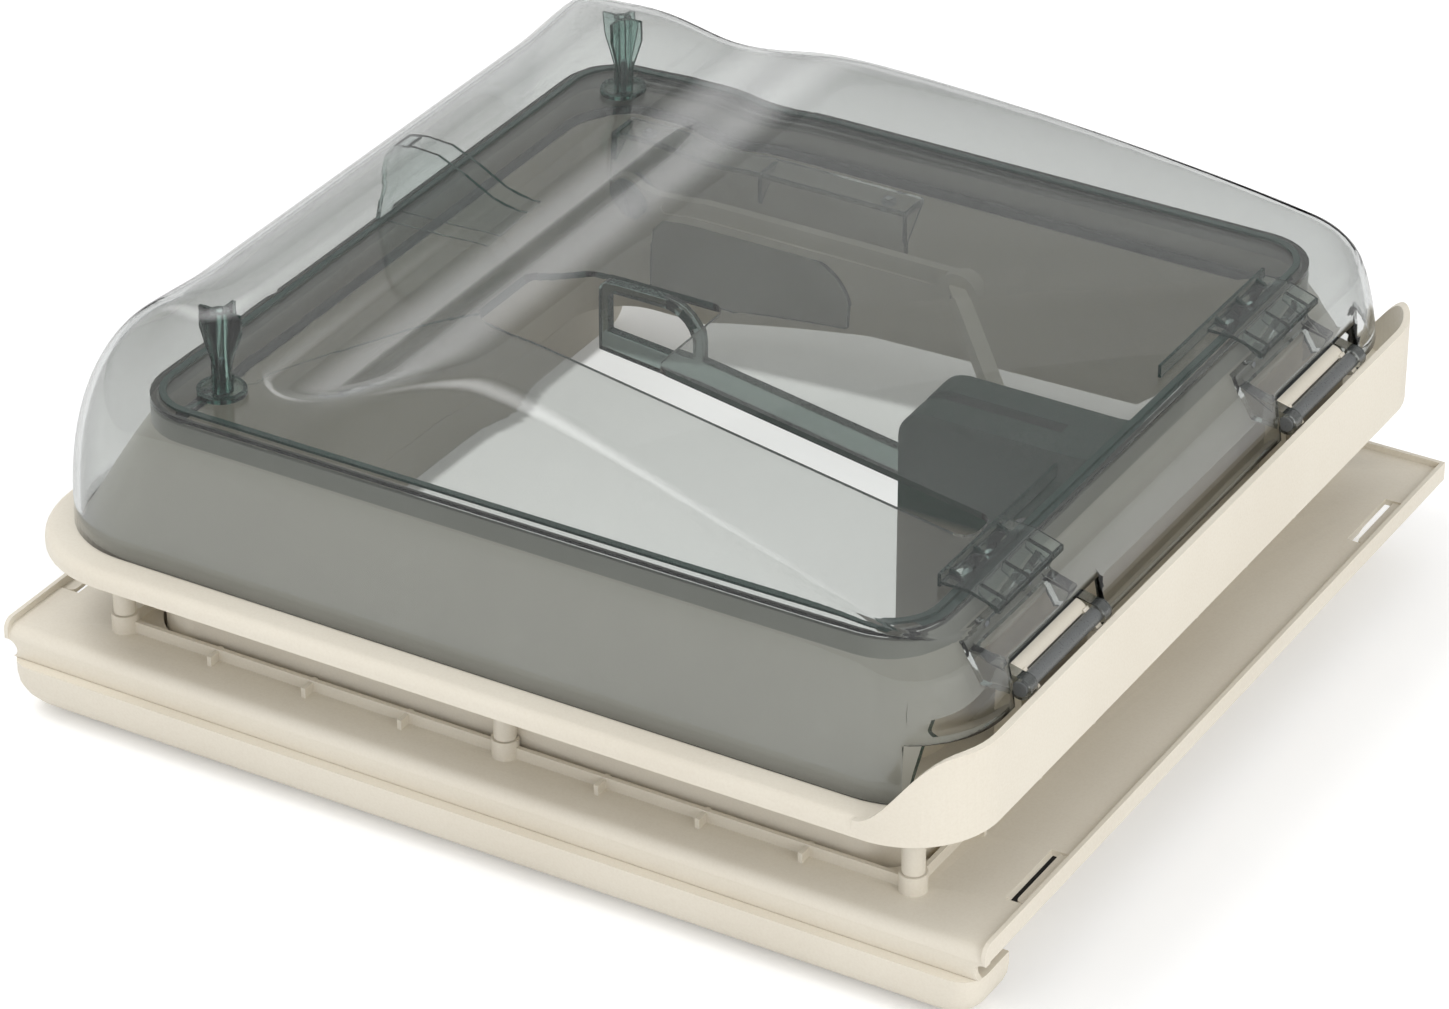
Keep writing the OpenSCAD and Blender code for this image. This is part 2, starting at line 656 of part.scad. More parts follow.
// Guide rail under the pane, with a closed slot for the sliding screw
rail_x0 = slot_x0 - slide_d / 2 - 10;
rail_x1 = slot_x1 + slide_d / 2 + 12;
rail_top = pane_bot - seat;
rail_bot = hinge_z - 10;
module guide_rail() color(smoke, 0.8) difference() {
  union() {
    along_y(rail_y0, rail_y1) polygon(rounded_points([
      [rail_x0, rail_bot], [rail_x1, rail_bot], [rail_x1, rail_top], [rail_x0, rail_top]
    ], 2));
    translate([rail_x0, rail_y0, rail_top - 3]) cube([rail_x1 - rail_x0, 18, 3]);
    for (x = [rail_x0, (rail_x0 + rail_x1) / 2 - 1, rail_x1 - 2])
      translate([x, rail_y1 - eps, rail_top - 16]) rotate([90, 0, 90])
        linear_extrude(2) polygon([[0, 0], [0, 14], [18 - rail_t, 14]]);
  }
  along_y(rail_y0 - 1, rail_y1 + 1) {
    translate([slot_x0, hinge_z - slide_d / 2 - run_fit]) square([slot_x1 - slot_x0, slide_d + 2 * run_fit]);
    for (x = [slot_x0, slot_x1]) translate([x, hinge_z]) circle(d = slide_d + 2 * run_fit);
  }
  for (x = rail_screw_x) translate([x, rail_y1 + 7, rail_top - 4]) cylinder(d = screw_d + 0.4, h = 6);
}
rail_screw_x = [rail_x0 + 14, rail_x1 - 14];
module rail_screws() color(steel) for (x = rail_screw_x)
  screw_up(x, rail_y1 + 7, rail_top - 5 - seat, 3 - seat, screw_d, 7, 2);

// Stay arm, which turns on the pivot screw and slides in the guide rail
module stay_arm() color(cream) difference() {
  along_y(stay_y0, stay_y1) {
    translate([-stay_reach, hinge_z - stay_w / 2]) square([stay_len, stay_w]);
    translate([-stay_reach, hinge_z]) circle(stay_w / 2 + 1.5);
    translate([stay_px, hinge_z]) circle(stay_w / 2 + 1.5);
  }
  // long groove in the front face
  along_y(stay_y0 - 1, stay_y0 + 1.2) polygon(rounded_points([
    [-stay_reach + 14, hinge_z - 2.5], [stay_px - 14, hinge_z - 2.5],
    [stay_px - 14, hinge_z + 2.5], [-stay_reach + 14, hinge_z + 2.5]
  ], 2.4));
  pin_y(stay_px, hinge_z, pivot_d + 2 * run_fit, stay_y0 - 1, stay_y1 + 1);
  pin_y(-stay_reach, hinge_z, slide_d, stay_y0 - 1, stay_y1 + 1);
}

// Grip plate under the stay, rounded at both upper ends
module stay_grip() color(smoke, 0.9) {
  top = hinge_z - stay_w / 2 - seat;
  x0 = -stay_reach + 9;
  along_y(stay_y - 1.5, stay_y + 1.5) difference() {
    translate([x0, top - grip_h]) square([grip_len, grip_h]);
    difference() {
      translate([x0 + grip_len - 26, top - 26]) square([27, 27]);
      translate([x0 + grip_len - 26, top - 26]) circle(26);
    }
    difference() {
      translate([x0 - 1, top - 10]) square([11, 11]);
      translate([x0 + 10, top - 10]) circle(10);
    }
  }
}

// Sliding screw with a slotted head, and the washer behind the rail
module stay_screw() color(steel) difference() {
  union() {
    pin_y(-stay_reach, hinge_z, 14, stay_y0 - 4, stay_y0);
    pin_y(-stay_reach, hinge_z, slide_d, stay_y0 - eps, rail_y1 + 0.4 + washer_t);
    pin_y(-stay_reach, hinge_z, 11, rail_y1 + 0.4, rail_y1 + 0.4 + washer_t);
  }
  translate([-stay_reach - 1, stay_y0 - 5, hinge_z - 8]) cube([2, 2.6, 16]);
}

// Operating lever: a flat bar with a finger loop that stands up through the hand opening
module operating_lever() color(clear, 0.8) difference() {
  along_y(-lever_t / 2, lever_t / 2) difference() {
    union() {
      translate([pivot_x, pivot_z]) circle(9);
      polygon([[pivot_x, pivot_z - bar_h / 2], [pivot_x, pivot_z + bar_h / 2],
        [loop_x1, bar_end_z + bar_h / 2], [loop_x0 + 6, bar_end_z + 6 + bar_h / 2],
        [loop_x0 + 6, bar_end_z + 6 - bar_h / 2], [loop_x1, bar_end_z - bar_h / 2]]);
      polygon(concat([[loop_x0, bar_end_z], [loop_x1, bar_end_z - bar_h / 2]],
        corner_arc([loop_x1, bar_end_z], [loop_x1, loop_top], [loop_x0, loop_top], 20),
        corner_arc([loop_x1, loop_top], [loop_x0, loop_top], [loop_x0, bar_end_z], 5)));
    }
    polygon(concat(
      [[loop_x0 + loop_bar, bar_end_z + bar_h / 2 + 4], [loop_x1 - loop_bar, bar_end_z + bar_h / 2]],
      corner_arc([loop_x1 - loop_bar, bar_end_z], [loop_x1 - loop_bar, loop_top - loop_bar],
        [loop_x0, loop_top - loop_bar], 15),
      corner_arc([loop_x1, loop_top - loop_bar], [loop_x0 + loop_bar, loop_top - loop_bar],
        [loop_x0 + loop_bar, bar_end_z], 3)));
  }
  pin_y(pivot_x, pivot_z, slide_d + 2 * run_fit, -lever_t, lever_t);
}

// Curved ends of the deflector wall, as a profile in X and Z
module deflector_profile() {
  x0 = flange_hinge - corner_hinge - 5;
  n = 14;
  polygon(concat(
    [[flange_hinge + 1, flange_bot], [x0, flange_bot]],
    [for (k = [0:n]) [x0 + deflector_run * k / n, flange_top + deflector_h * ease(k / n)]],
    [[flange_hinge + 1, flange_top + deflector_h]]));
}

// Flange with a rounded upper edge
function flange_ring(inset, z) = ring(-flange_open + inset, flange_hinge - inset, -flange_y / 2 + inset,
  flange_y / 2 - inset, corner_open - inset, corner_hinge - inset, z, 12);
module flange_slab() loft(concat([flange_ring(0, flange_bot)],
  [for (a = [0:22.5:90]) flange_ring(flange_r * (1 - cos(a)), flange_top - flange_r * (1 - sin(a)))]));

module upper_frame() color(cream) difference() {
  union() {
    flange_slab();
    intersection() {
      plate(flange_bot, flange_top + deflector_h) difference() {
        flange_outline();
        flange_outline(wall);
      }
      along_y(-flange_y, flange_y) deflector_profile();
    }
    plate(neck_bot, upstand_top) rounded_box(neck_out, neck_out, neck_r);
    for (p = clamp_places) translate([p[0], p[1], boss_top + seat]) cylinder(d = post_d, h = flange_bot - boss_top);
  }
  plate(neck_bot - 1, upstand_top + 1) rounded_box(neck_in, neck_in, neck_r - wall);
  for (p = clamp_places) translate([p[0], p[1], boss_top - 1]) cylinder(d = screw_d + 0.2, h = 26);
  for (s = [-1, 1], y = [-block_screw_y, block_screw_y])
    translate([block_mid, s * hinge_y + y, flange_bot - 1]) {
      cylinder(d = screw_d + 0.4, h = flange_t + 2);
      cylinder(d = 8, h = 4.4);
    }
  // bosses for the housing are on the housing, so the wall only has its two screw holes
  for (z = house_screw_z) translate([neck_in - 1, 0, z]) rotate([0, 90, 0]) cylinder(d = screw_d + 0.4, h = wall + 2);
}

// Hinge block on the flange, with a rounded top and two lugs for the rod
block_mid = (block_x0 + block_x1) / 2;
block_screw_y = block_len / 2 - 12.5;
block_bite = 10;
module hinge_block(s) translate([0, s * hinge_y, 0]) difference() {
  union() {
    along_y(-block_len / 2, block_len / 2) {
      translate([block_x0, flange_top + seat]) square([block_x1 - block_x0, block_top - flange_top - block_w / 2 - seat]);
      translate([block_mid, block_top - block_w / 2]) circle(block_w / 2);
    }
    // cups that hold the rod from below, open toward the outside
    for (y = [-block_len / 2, block_len / 2 - lug_t]) along_y(y, y + lug_t) difference() {
      union() {
        translate([hinge_x, hinge_z]) circle(lug_r);
        polygon([[block_mid, hinge_z - 14], [hinge_x, hinge_z - lug_r], [hinge_x, hinge_z], [block_mid, hinge_z]]);
      }
      translate([hinge_x, hinge_z]) rotate(-45) translate([-2 * lug_r, 0.8]) square([4 * lug_r, 2 * lug_r]);
    }
  }
  pin_y(hinge_x, hinge_z, rod_d + 2 * run_fit, -block_len, block_len);
  along_y(-block_len / 2 + lug_t, block_len / 2 - lug_t) translate([hinge_x, hinge_z]) circle(rod_d / 2 + 0.6);
  for (y = [-block_screw_y, block_screw_y])
    translate([block_mid, y, flange_top - 1]) cylinder(d = screw_d + 0.2, h = block_bite + 8);
}
module hinge_block_front() color(cream) hinge_block(-1);
module hinge_block_rear() color(cream) hinge_block(1);
module block_screws() color(steel) for (s = [-1, 1], y = [-block_screw_y, block_screw_y])
  screw_up(block_mid, s * hinge_y + y, flange_bot + 0.8, flange_t + block_bite, screw_d, 7.4, 2.4);

// Rubber seal on the upstand and foam seal under the flange
module dome_seal() color(rubber) plate(upstand_top, upstand_top + seal_h) difference() {
  rounded_box(neck_out + 0.6, neck_out + 0.6, neck_r + 0.6);
  rounded_box(neck_in + 2 * seat, neck_in + 2 * seat, neck_r - wall + 2 * seat);
}
module roof_seal() color(rubber) plate(flange_bot - roof_seal_t, flange_bot) difference() {
  flange_outline(6);
  rounded_box(cutout / 2 + pass, cutout / 2 + pass, boss_d / 2 + 2 * pass);
}

// Housing of the lever: a box on the neck wall, open at the rear, with a slot for the lever
house_screw_z = [house_z0 + 20, house_z0 + 71.5];
module house_profile(inset) polygon(concat(
  [[house_x1 - inset, house_z0 + inset], [house_x1 - inset, house_z1 - inset]],
  corner_arc([house_x1, house_z1 - inset], [house_x0 + inset, house_z1 - inset],
    [house_x0 + inset, house_z0], house_r - inset),
  [[house_x0 + inset, house_z0 + inset]]));
house_corners = [
  [house_x0 + 7, house_z0 + 7], [house_x1 - 7, house_z0 + 7],
  [house_x0 + 8, house_z1 - 8], [house_x1 - 7, house_z1 - 7]
];
module lever_slot() translate([house_x0 - 1, -lever_t / 2 - pass, pivot_z - 8])
  cube([pivot_x + 8 - house_x0, lever_t + 2 * pass, house_z1 - pivot_z + 9]);
module lever_housing() color(cream) difference() {
  union() {
    difference() {
      along_y(-house_y, house_y - house_t) house_profile(0);
      along_y(-house_y + house_t, house_y) house_profile(house_t);
    }
    for (p = house_corners) pin_y(p[0], p[1], 8, -house_y + house_t - eps, house_y - house_t);
    pin_y(pivot_x, pivot_z, 14, -house_y + house_t - eps, -lever_t / 2 - 0.4);
  }
  lever_slot();
  for (p = house_corners) pin_y(p[0], p[1], 3, 0, house_y);
  pin_y(pivot_x, pivot_z, slide_d, -house_y - 1, 0);
  for (z = house_screw_z) translate([house_x1 - house_t - 1, 0, z]) rotate([0, 90, 0])
    cylinder(d = screw_d + 0.4, h = house_t + 2);
}
module housing_cover() color(cream) difference() {
  union() {
    along_y(house_y - house_t + seat / 2, house_y) house_profile(0);
    pin_y(pivot_x, pivot_z, 14, lever_t / 2 + 0.4, house_y - house_t + seat);
  }
  for (p = house_corners) pin_y(p[0], p[1], 3.2, house_y - house_t - 1, house_y + 1);
  pin_y(pivot_x, pivot_z, slide_d, 0, house_y + 1);
  for (x = brace_screw_x) pin_y(x, brace_z, screw_d + 0.2, house_y - house_t - 1, house_y + 1);
}

// Screws of the cover, and the two that hold the housing to the neck wall
module housing_screws() color(steel) {
  for (p = house_corners) {
    pin_y(p[0], p[1], 2.8, house_y - 12, house_y + seat);
    pin_y(p[0], p[1], 5.6, house_y + seat, house_y + 1.8);
  }
  for (z = house_screw_z) translate([0, 0, z]) rotate([0, 90, 0]) {
    translate([0, 0, neck_in - house_t - 2 * seat - 2]) cylinder(d = 7, h = 2);
    translate([0, 0, neck_in - house_t - 2 * seat]) cylinder(d = screw_d, h = house_t + 2 * seat + wall - 0.4);
  }
}
module lever_pin() color(steel) pin_y(pivot_x, pivot_z, slide_d - eps, -house_y, house_y);

// Brace from the housing to the pivot of the stay
brace_z = hinge_z - 6;
brace_x = house_x0 + 31;
brace_screw_x = [brace_x - 7, brace_x + 7];
brace_y1 = stay_y0 - 0.6;
module stay_brace() color(cream) difference() {
  union() {
    // foot on the cover
    along_y(house_y + seat / 2, house_y + 5) polygon(rounded_points([
      [brace_x - 14, brace_z - 8], [brace_x + 14, brace_z - 8],
      [brace_x + 14, brace_z + 8], [brace_x - 14, brace_z + 8]
    ], 5));
    // strut
    hull() {
      translate([brace_x, house_y + 4, brace_z - 5]) cylinder(d = 7, h = 10);
      translate([stay_px, brace_y1 - 6, brace_z - 1]) cylinder(d = 7, h = 11);
    }
    // eye
    pin_y(stay_px, hinge_z, 20, brace_y1 - 6, brace_y1);
  }
  pin_y(stay_px, hinge_z, 4.2, brace_y1 - 12, brace_y1 + 1);
  for (x = brace_screw_x) pin_y(x, brace_z, screw_d + 0.2, house_y - 1, house_y + 6);
}

// Shoulder screw of the stay, and the two screws of the brace
module stay_pivot() color(steel) difference() {
  union() {
    pin_y(stay_px, hinge_z, pivot_d, brace_y1, stay_y1 + 0.3);
    pin_y(stay_px, hinge_z, 4, brace_y1 - 8, brace_y1 + eps);
    pin_y(stay_px, hinge_z, 13, stay_y1 + 0.3, stay_y1 + 1.7);
  }
  translate([stay_px - 0.8, stay_y1 + 0.9, hinge_z - 7]) cube([1.6, 2, 14]);
}

// Lower frame: tray with a rolled front edge and a lip on the other sides, collar, rail, bosses and clip slots
lower_hx = lower_x / 2;
lower_hy = lower_y / 2;
front_lean = 1.5;
side_wall_z = trim_top + 4;
clip_x = lower_hx - lip_t - clip_w;

// Section of the tray in Y and Z: floor, rear wall and the front face that leans in toward the trim
module tray_profile() polygon(concat(
  [[lower_hy - wall, rim_bot], [lower_hy, rim_bot], [lower_hy, floor_top]],
  corner_arc([0, floor_top], [-lower_hy, floor_top], [-lower_hy + front_lean, trim_top], front_r),
  [[-lower_hy + front_lean, trim_top], [-lower_hy + front_lean + wall, trim_top],
   [-lower_hy + front_lean + wall, floor_bot], [lower_hy - wall, floor_bot]]));
module lip_profile() polygon(concat(
  [[lower_hy + 1, rim_bot], [lower_hy + 1, rim_top]],
  corner_arc([0, rim_top], [-lower_hy, rim_top], [-lower_hy, rim_bot], front_r), [[-lower_hy, rim_bot]]));
module lip_outline() difference() {
  translate([-lower_hx, -lower_hy - 1]) square([lower_x, lower_y + 1]);
  translate([-lower_hx + lip_t, -lower_hy - 2]) square([lower_x - 2 * lip_t, lower_y + 2 - lip_t]);
}

// Tongue in a clip slot: it hangs on the lip and on the slot's far end
module clip_tongue(sy) plate(floor_bot, floor_top - 1) {
  y0 = sy * slot_y - slot_len / 2 + 1.5;
  translate([clip_x + clip_gap, y0 + 3]) square([clip_w - clip_gap + 1, slot_len - 3]);
  translate([clip_x + clip_gap + 3, y0]) square([clip_w - clip_gap - 2, 4]);
  translate([clip_x + clip_gap + 3, y0 + 3]) circle(3);
}
module lower_frame() color(cream) union() {
  difference() {
    union() {
      along_x(-lower_hx, lower_hx) tray_profile();
      intersection() {
        plate(rim_bot - 1, rim_top + 1) lip_outline();
        along_x(-lower_hx - 1, lower_hx + 1) lip_profile();
      }
      // drawn-in walls at the rear and the sides
      plate(trim_top, floor_bot + eps) translate([recess_in - lower_hx, lower_hy - recess_in - wall])
        square([lower_x - 2 * recess_in, wall]);
      for (s = [-1, 1]) plate(side_wall_z, floor_bot + eps)
        translate([s * (lower_hx - recess_in - wall / 2) - wall / 2, front_lean + wall / 2 - lower_hy])
          square([wall, lower_y - recess_in - wall - front_lean]);
      plate(neck_bot - 8, floor_top) rounded_box(collar_in + collar_t, collar_in + collar_t, neck_r + pass);
      for (p = clamp_places) translate([p[0], p[1], rim_bot - 4]) cylinder(d = boss_d, h = boss_top - rim_bot + 4);
      // rail from boss to boss
      plate(floor_top - eps, floor_top + rail_h) difference() {
        square(2 * boss_c + rib_t, center = true);
        square(2 * boss_c - rib_t, center = true);
      }
      // cross ribs on the rail, three between each pair of bosses
      for (a = [0:90:270], k = [-3, -2, -1, 1, 2, 3]) rotate([0, 0, a])
        translate([boss_c * k / 4 - rib_t / 2, -boss_c - rib_len / 2, floor_top - 2 * eps])
          cube([rib_t, rib_len, rail_h - 0.8]);
    }
    plate(trim_top - 10, boss_top + 1) rounded_box(collar_in, collar_in, neck_r);
    for (p = clamp_places) translate([p[0], p[1], rim_bot - 5]) {
      cylinder(d = screw_d + 0.6, h = 40);
      cylinder(d = 8, h = 5);
    }
    for (sx = [0, 1], sy = [-1, 1]) mirror([sx, 0, 0])
      translate([clip_x, sy * slot_y - slot_len / 2, trim_top + 1]) cube([clip_w, slot_len, floor_top - trim_top]);
    // round bites at both ends of the front face
    for (s = [-1, 1]) pin_y(s * (lower_hx - 1), trim_top + recess_h / 2 - 0.6, recess_h, -lower_hy - 1, -lower_hy + 3 * wall);
  }
  for (sx = [0, 1], sy = [-1, 1]) mirror([sx, 0, 0]) clip_tongue(sy);
}
module clamp_screws() color(steel) for (p = clamp_places)
  screw_up(p[0], p[1], rim_bot - 2.6, boss_top - rim_bot + 20, screw_d, 7.6, 2.4);

// Trim frame with rounded lower edges: a wide front bar, side bars drawn in under the tray, a flat rear bar
ledge_t = 2.5;
trim_hx = lower_hx - trim_in;
trim_side_x = lower_hx - trim_side_in;
trim_side_r = 12;
trim_nest = 10;
function trim_ring(hx, front, inset, z) =
  ring(-hx + inset, hx - inset, -front + inset, trim_rear - inset, trim_corner, trim_corner, z, 6);
module trim_loft(hx, front, edge_r, inset, top) {
  r = edge_r - inset;
  loft(concat([for (a = [0:15:90]) trim_ring(hx, front, inset + r * (1 - sin(a)), inset + r * (1 - cos(a)))],
    [trim_ring(hx, front, inset, top)]));
}
module trim_form(inset, top) {
  intersection() {
    trim_loft(trim_hx, trim_front, trim_r, inset, top);
    translate([-lower_x, -trim_front - 1, -1]) cube([2 * lower_x, trim_bar_w + 1 - inset, trim_top + 2]);
  }
  trim_loft(trim_side_x, trim_front - trim_nest, trim_side_r, inset, top);
}
module trim_cavity() difference() {
  trim_form(wall - 0.5, trim_top - seat - ledge_t);
  // wall round the opening, inner ends of the side bars and the flat rear bar stay
  plate(-1, trim_top) rounded_box(collar_in + wall, collar_in + wall, neck_r + wall);
  for (s = [-1, 1])
    translate([s * (collar_in + wall / 2) - wall / 2, collar_in - neck_r, -1]) cube([wall, 3 * neck_r, trim_top]);
  translate([-collar_in - 1, collar_in, trim_top - trim_bar_t]) cube([2 * collar_in + 2, 2 * neck_r, trim_bar_t]);
}
module trim_frame() color(cream) difference() {
  trim_form(0, trim_top - seat);
  trim_cavity();
  // the ledge under the lower frame leaves the middle open
  difference() {
    plate(trim_top - seat - ledge_t - 0.5, trim_top)
      square([lower_x - 2 * recess_in - 2 * wall - 6, lower_y - 2 * recess_in - 2 * wall - 3], center = true);
    translate([-collar_in - 1, collar_in, 0]) cube([2 * collar_in + 2, 2 * neck_r, trim_top]);
  }
  plate(-1, trim_top + 1) rounded_box(collar_in, collar_in, neck_r);
  plate(neck_bot - 8 - seat, trim_top + 1)
    rounded_box(collar_in + collar_t + seat, collar_in + collar_t + seat, neck_r + pass + seat);
  // below the flat rear bar the frame is open
  translate([-collar_in, collar_in - neck_r, -1]) cube([2 * collar_in, 3 * neck_r, trim_top - trim_bar_t + 1]);
}

outer_dome();
inner_dome();
spacer_post_front();
spacer_post_rear();
post_screws();
lip_spacer();
rim_bracket_front();
rim_bracket_rear();
hinge_leaf_front();
hinge_leaf_rear();
hinge_rod_front();
hinge_rod_rear();
leaf_rivets();
guide_rail();
rail_screws();
stay_arm();
stay_grip();
stay_screw();
operating_lever();
upper_frame();
hinge_block_front();
hinge_block_rear();
block_screws();
dome_seal();
roof_seal();
lever_housing();
housing_cover();
housing_screws();
lever_pin();
stay_brace();
stay_pivot();
lower_frame();
clamp_screws();
trim_frame();
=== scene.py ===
"""Looks of a caravan roof vent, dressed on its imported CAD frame.

Lengths are metres in the CAD model's frame: +X to the hinge side, +Y to the rear, +Z up.
"""
import math

import bmesh
import bpy
from mathutils import Matrix, Vector


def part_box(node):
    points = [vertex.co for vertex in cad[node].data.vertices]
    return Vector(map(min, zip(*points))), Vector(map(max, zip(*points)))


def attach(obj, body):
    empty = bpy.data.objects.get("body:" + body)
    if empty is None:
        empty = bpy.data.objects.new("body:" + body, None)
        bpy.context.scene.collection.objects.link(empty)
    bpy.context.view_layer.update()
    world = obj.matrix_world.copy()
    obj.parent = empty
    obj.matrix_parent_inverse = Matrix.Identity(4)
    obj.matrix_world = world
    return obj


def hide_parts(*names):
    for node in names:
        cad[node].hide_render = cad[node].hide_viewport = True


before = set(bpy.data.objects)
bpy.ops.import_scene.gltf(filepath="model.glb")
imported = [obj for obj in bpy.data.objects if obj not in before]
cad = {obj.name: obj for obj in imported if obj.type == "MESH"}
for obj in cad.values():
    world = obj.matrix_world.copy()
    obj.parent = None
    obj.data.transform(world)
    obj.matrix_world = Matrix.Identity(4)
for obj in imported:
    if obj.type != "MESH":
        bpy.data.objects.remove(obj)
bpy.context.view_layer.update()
scene = bpy.context.scene
scene.view_settings.view_transform = "Standard"
MM = 0.001

# Camera at the photo's place, solved from the photo in the CAD frame
PHOTO_WIDTH = 1449
PHOTO_AXIS_X = 727.5
CAMERA_PLACE = (1.07824, -1.84373, 1.34386)
CAMERA_TURN = 30.476
CAMERA_DOWN = 30.984
CAMERA_LENS = 141.27
SENSOR_WIDTH = 36.0

# Levels of the white studio for its light and for what the surfaces mirror
STUDIO_LIGHT = 0.82
STUDIO_GLOSS = 0.26

# Floor: its glow, painted light below the roof opening, and painted shade below the hinge side
FLOOR_SIZE = 20.0
FLOOR_DROP = 0.3 * MM
FLOOR_GLOW, OPENING_PAINTED_GLOW = 0.2, 0.88
OPENING_REACH = (180 * MM, 185 * MM)
PAINTED_SHADE_TONE = (0.03, 0.03, 0.03, 1)
PAINTED_SHADE_X = (186 * MM, 200 * MM, 207 * MM, 213 * MM)
PAINTED_SHADE_Y = (-150 * MM, -125 * MM, 150 * MM, 215 * MM)

# Outer dome, with the sizes of the part's source: the wave's heights stand on the dome's foot, its
# lip, valley and crest are measured from the foot's open end, and the cuts stand on the flange
DOME_T = 3 * MM
FOOT_LIFT = 0.6 * MM
FOOT_R = 45 * MM
LIP_H, VALLEY_H, CREST_H, SLOPE_H = 105.5 * MM, 88 * MM, 107.5 * MM, 71 * MM
LIP_AT, VALLEY_AT, CREST_AT = 64.6 * MM, 112 * MM, 192 * MM
SLOPE_END, SLOPE_POWER = 186 * MM, 1.25
SIDE_H, SIDE_W, SIDE_POWER = 114 * MM, 80 * MM, 2.45
EDGE_BLEND = 8 * MM
HINGE_CUT_X = 195 * MM
HINGE_EDGE_H = 28 * MM
NOTCH_H = 47 * MM
NOTCH_HALF = 38.9 * MM
HINGE_Y = 121 * MM
CUT_REACH = 300 * MM
CUT_MARGIN = 20 * MM
CUT_SNAP = 1e-7

# Rounding of the shoulders at the two ends, and the share of a side over which it fades
OPEN_DRAW, HINGE_DRAW = 0.2, 0.14
DRAW_FADE = 0.3

# Top of the smoked dome's skirt and underside of its pane, and the depths of their blends
SKIRT_TOP, PANE_UNDER = 139.5 * MM, 148.4 * MM
SKIRT_BLEND, PANE_BLEND = 0.3 * MM, 0.4 * MM

# Height at which the housing's green top begins, and half the blend
HOUSING_CHANGE, HOUSING_BLEND = 94 * MM, 3 * MM

# Turn in degrees that brings the fins of the CAD posts to the photo's position
POST_TURN = 45

# Copies of CAD nodes: merging, flat faces, sharp edges and the narrow faces of plates
MERGE_DISTANCE = 0.001 * MM
FLAT_ANGLE = math.radians(0.3)
ONE_FACE_ANGLE = math.radians(1)
SHARP_ANGLE = math.radians(35)
BEVEL_ANGLE = math.radians(40)
BEVEL_SEGMENTS = 2
PLATE_EDGE, POST_EDGE, PANE_EDGE = 2.0 * MM, 2.6 * MM, 3.3 * MM
GRIP_EDGE, LEVER_EDGE = 4.0 * MM, 6.5 * MM

# Widths of the softened edges
FINE_SOFT = 0.2 * MM
TRAY_SOFT = 0.25 * MM
THIN_SOFT = 0.3 * MM
PLATE_SOFT = 0.4 * MM
FRAME_SOFT = 0.5 * MM
ARM_SOFT = 0.6 * MM
BLOCK_SOFT = 1.6 * MM

# Refraction of acrylic, and the steps of a mirror card's grid
ACRYLIC_IOR = 1.49
CARD_STEPS = 24


def linear(r, g, b, a=1.0):
    """Scene-linear colour of an sRGB colour given in 0 to 255."""
    def one(c):
        c /= 255
        return c / 12.92 if c <= 0.04045 else ((c + 0.055) / 1.055) ** 2.4
    return (one(r), one(g), one(b), a)


def darker(tone, share):
    """The same colour at a share of its level."""
    return tuple(share * c for c in tone[:3]) + (1,)


def shader_group(name, inputs, outputs):
    """Empty shader node group with its named sockets, and its input and output nodes."""
    group = bpy.data.node_groups.new(name, "ShaderNodeTree")
    for label, kind, value in inputs:
        socket = group.interface.new_socket(name=label, in_out="INPUT", socket_type=kind)
        socket.default_value = value
    for label, kind in outputs:
        group.interface.new_socket(name=label, in_out="OUTPUT", socket_type=kind)
    return group, group.nodes.new("NodeGroupInput"), group.nodes.new("NodeGroupOutput")


def feed(tree, socket, value):
    """Gives a socket a plain value, or links another socket to it."""
    if isinstance(value, (int, float, tuple)):
        socket.default_value = value
    else:
        tree.links.new(value, socket)


def object_place(tree):
    """Object coordinates."""
    return tree.nodes.new("ShaderNodeTexCoord").outputs["Object"]


def place_axes(tree):
    """Outputs for X, Y and Z of the object coordinates."""
    split = tree.nodes.new("ShaderNodeSeparateXYZ")
    tree.links.new(object_place(tree), split.inputs["Vector"])
    return split.outputs


def noise_node(tree, coords, scale, detail):
    """Noise texture on the given coordinates."""
    noise = tree.nodes.new("ShaderNodeTexNoise")
    noise.inputs["Detail"].default_value = detail
    feed(tree, noise.inputs["Scale"], scale)
    tree.links.new(coords, noise.inputs["Vector"])
    return noise.outputs["Fac"]


def ramp_node(tree, value, low, high, to_low, to_high):
    """Smooth step of a value between two bounds, put out between two others."""
    ramp = tree.nodes.new("ShaderNodeMapRange")
    ramp.interpolation_type = "SMOOTHSTEP"
    tree.links.new(value, ramp.inputs["Value"])
    ramp.inputs["From Min"].default_value = low
    ramp.inputs["From Max"].default_value = high
    feed(tree, ramp.inputs["To Min"], to_low)
    feed(tree, ramp.inputs["To Max"], to_high)
    return ramp.outputs["Result"]


def math_node(tree, operation, *values, clamp=False):
    """Math node on the given sockets."""
    node = tree.nodes.new("ShaderNodeMath")
    node.operation = operation
    node.use_clamp = clamp
    for socket, value in zip(node.inputs, values):
        tree.links.new(value, socket)
    return node.outputs[0]


def mix_node(tree, factor, first, second):
    """Blend of two colours, each a plain colour or a socket."""
    mix = tree.nodes.new("ShaderNodeMix")
    mix.data_type = "RGBA"
    tree.links.new(factor, mix.inputs["Factor"])
    feed(tree, mix.inputs["A"], first)
    feed(tree, mix.inputs["B"], second)
    return mix.outputs["Result"]


def soft_span(tree, value, bounds):
    """One inside a span of a value and none outside, with soft ends."""
    start, full, fade, end = bounds
    return math_node(tree, "MULTIPLY", ramp_node(tree, value, start, full, 0.0, 1.0),
                     ramp_node(tree, value, fade, end, 1.0, 0.0))


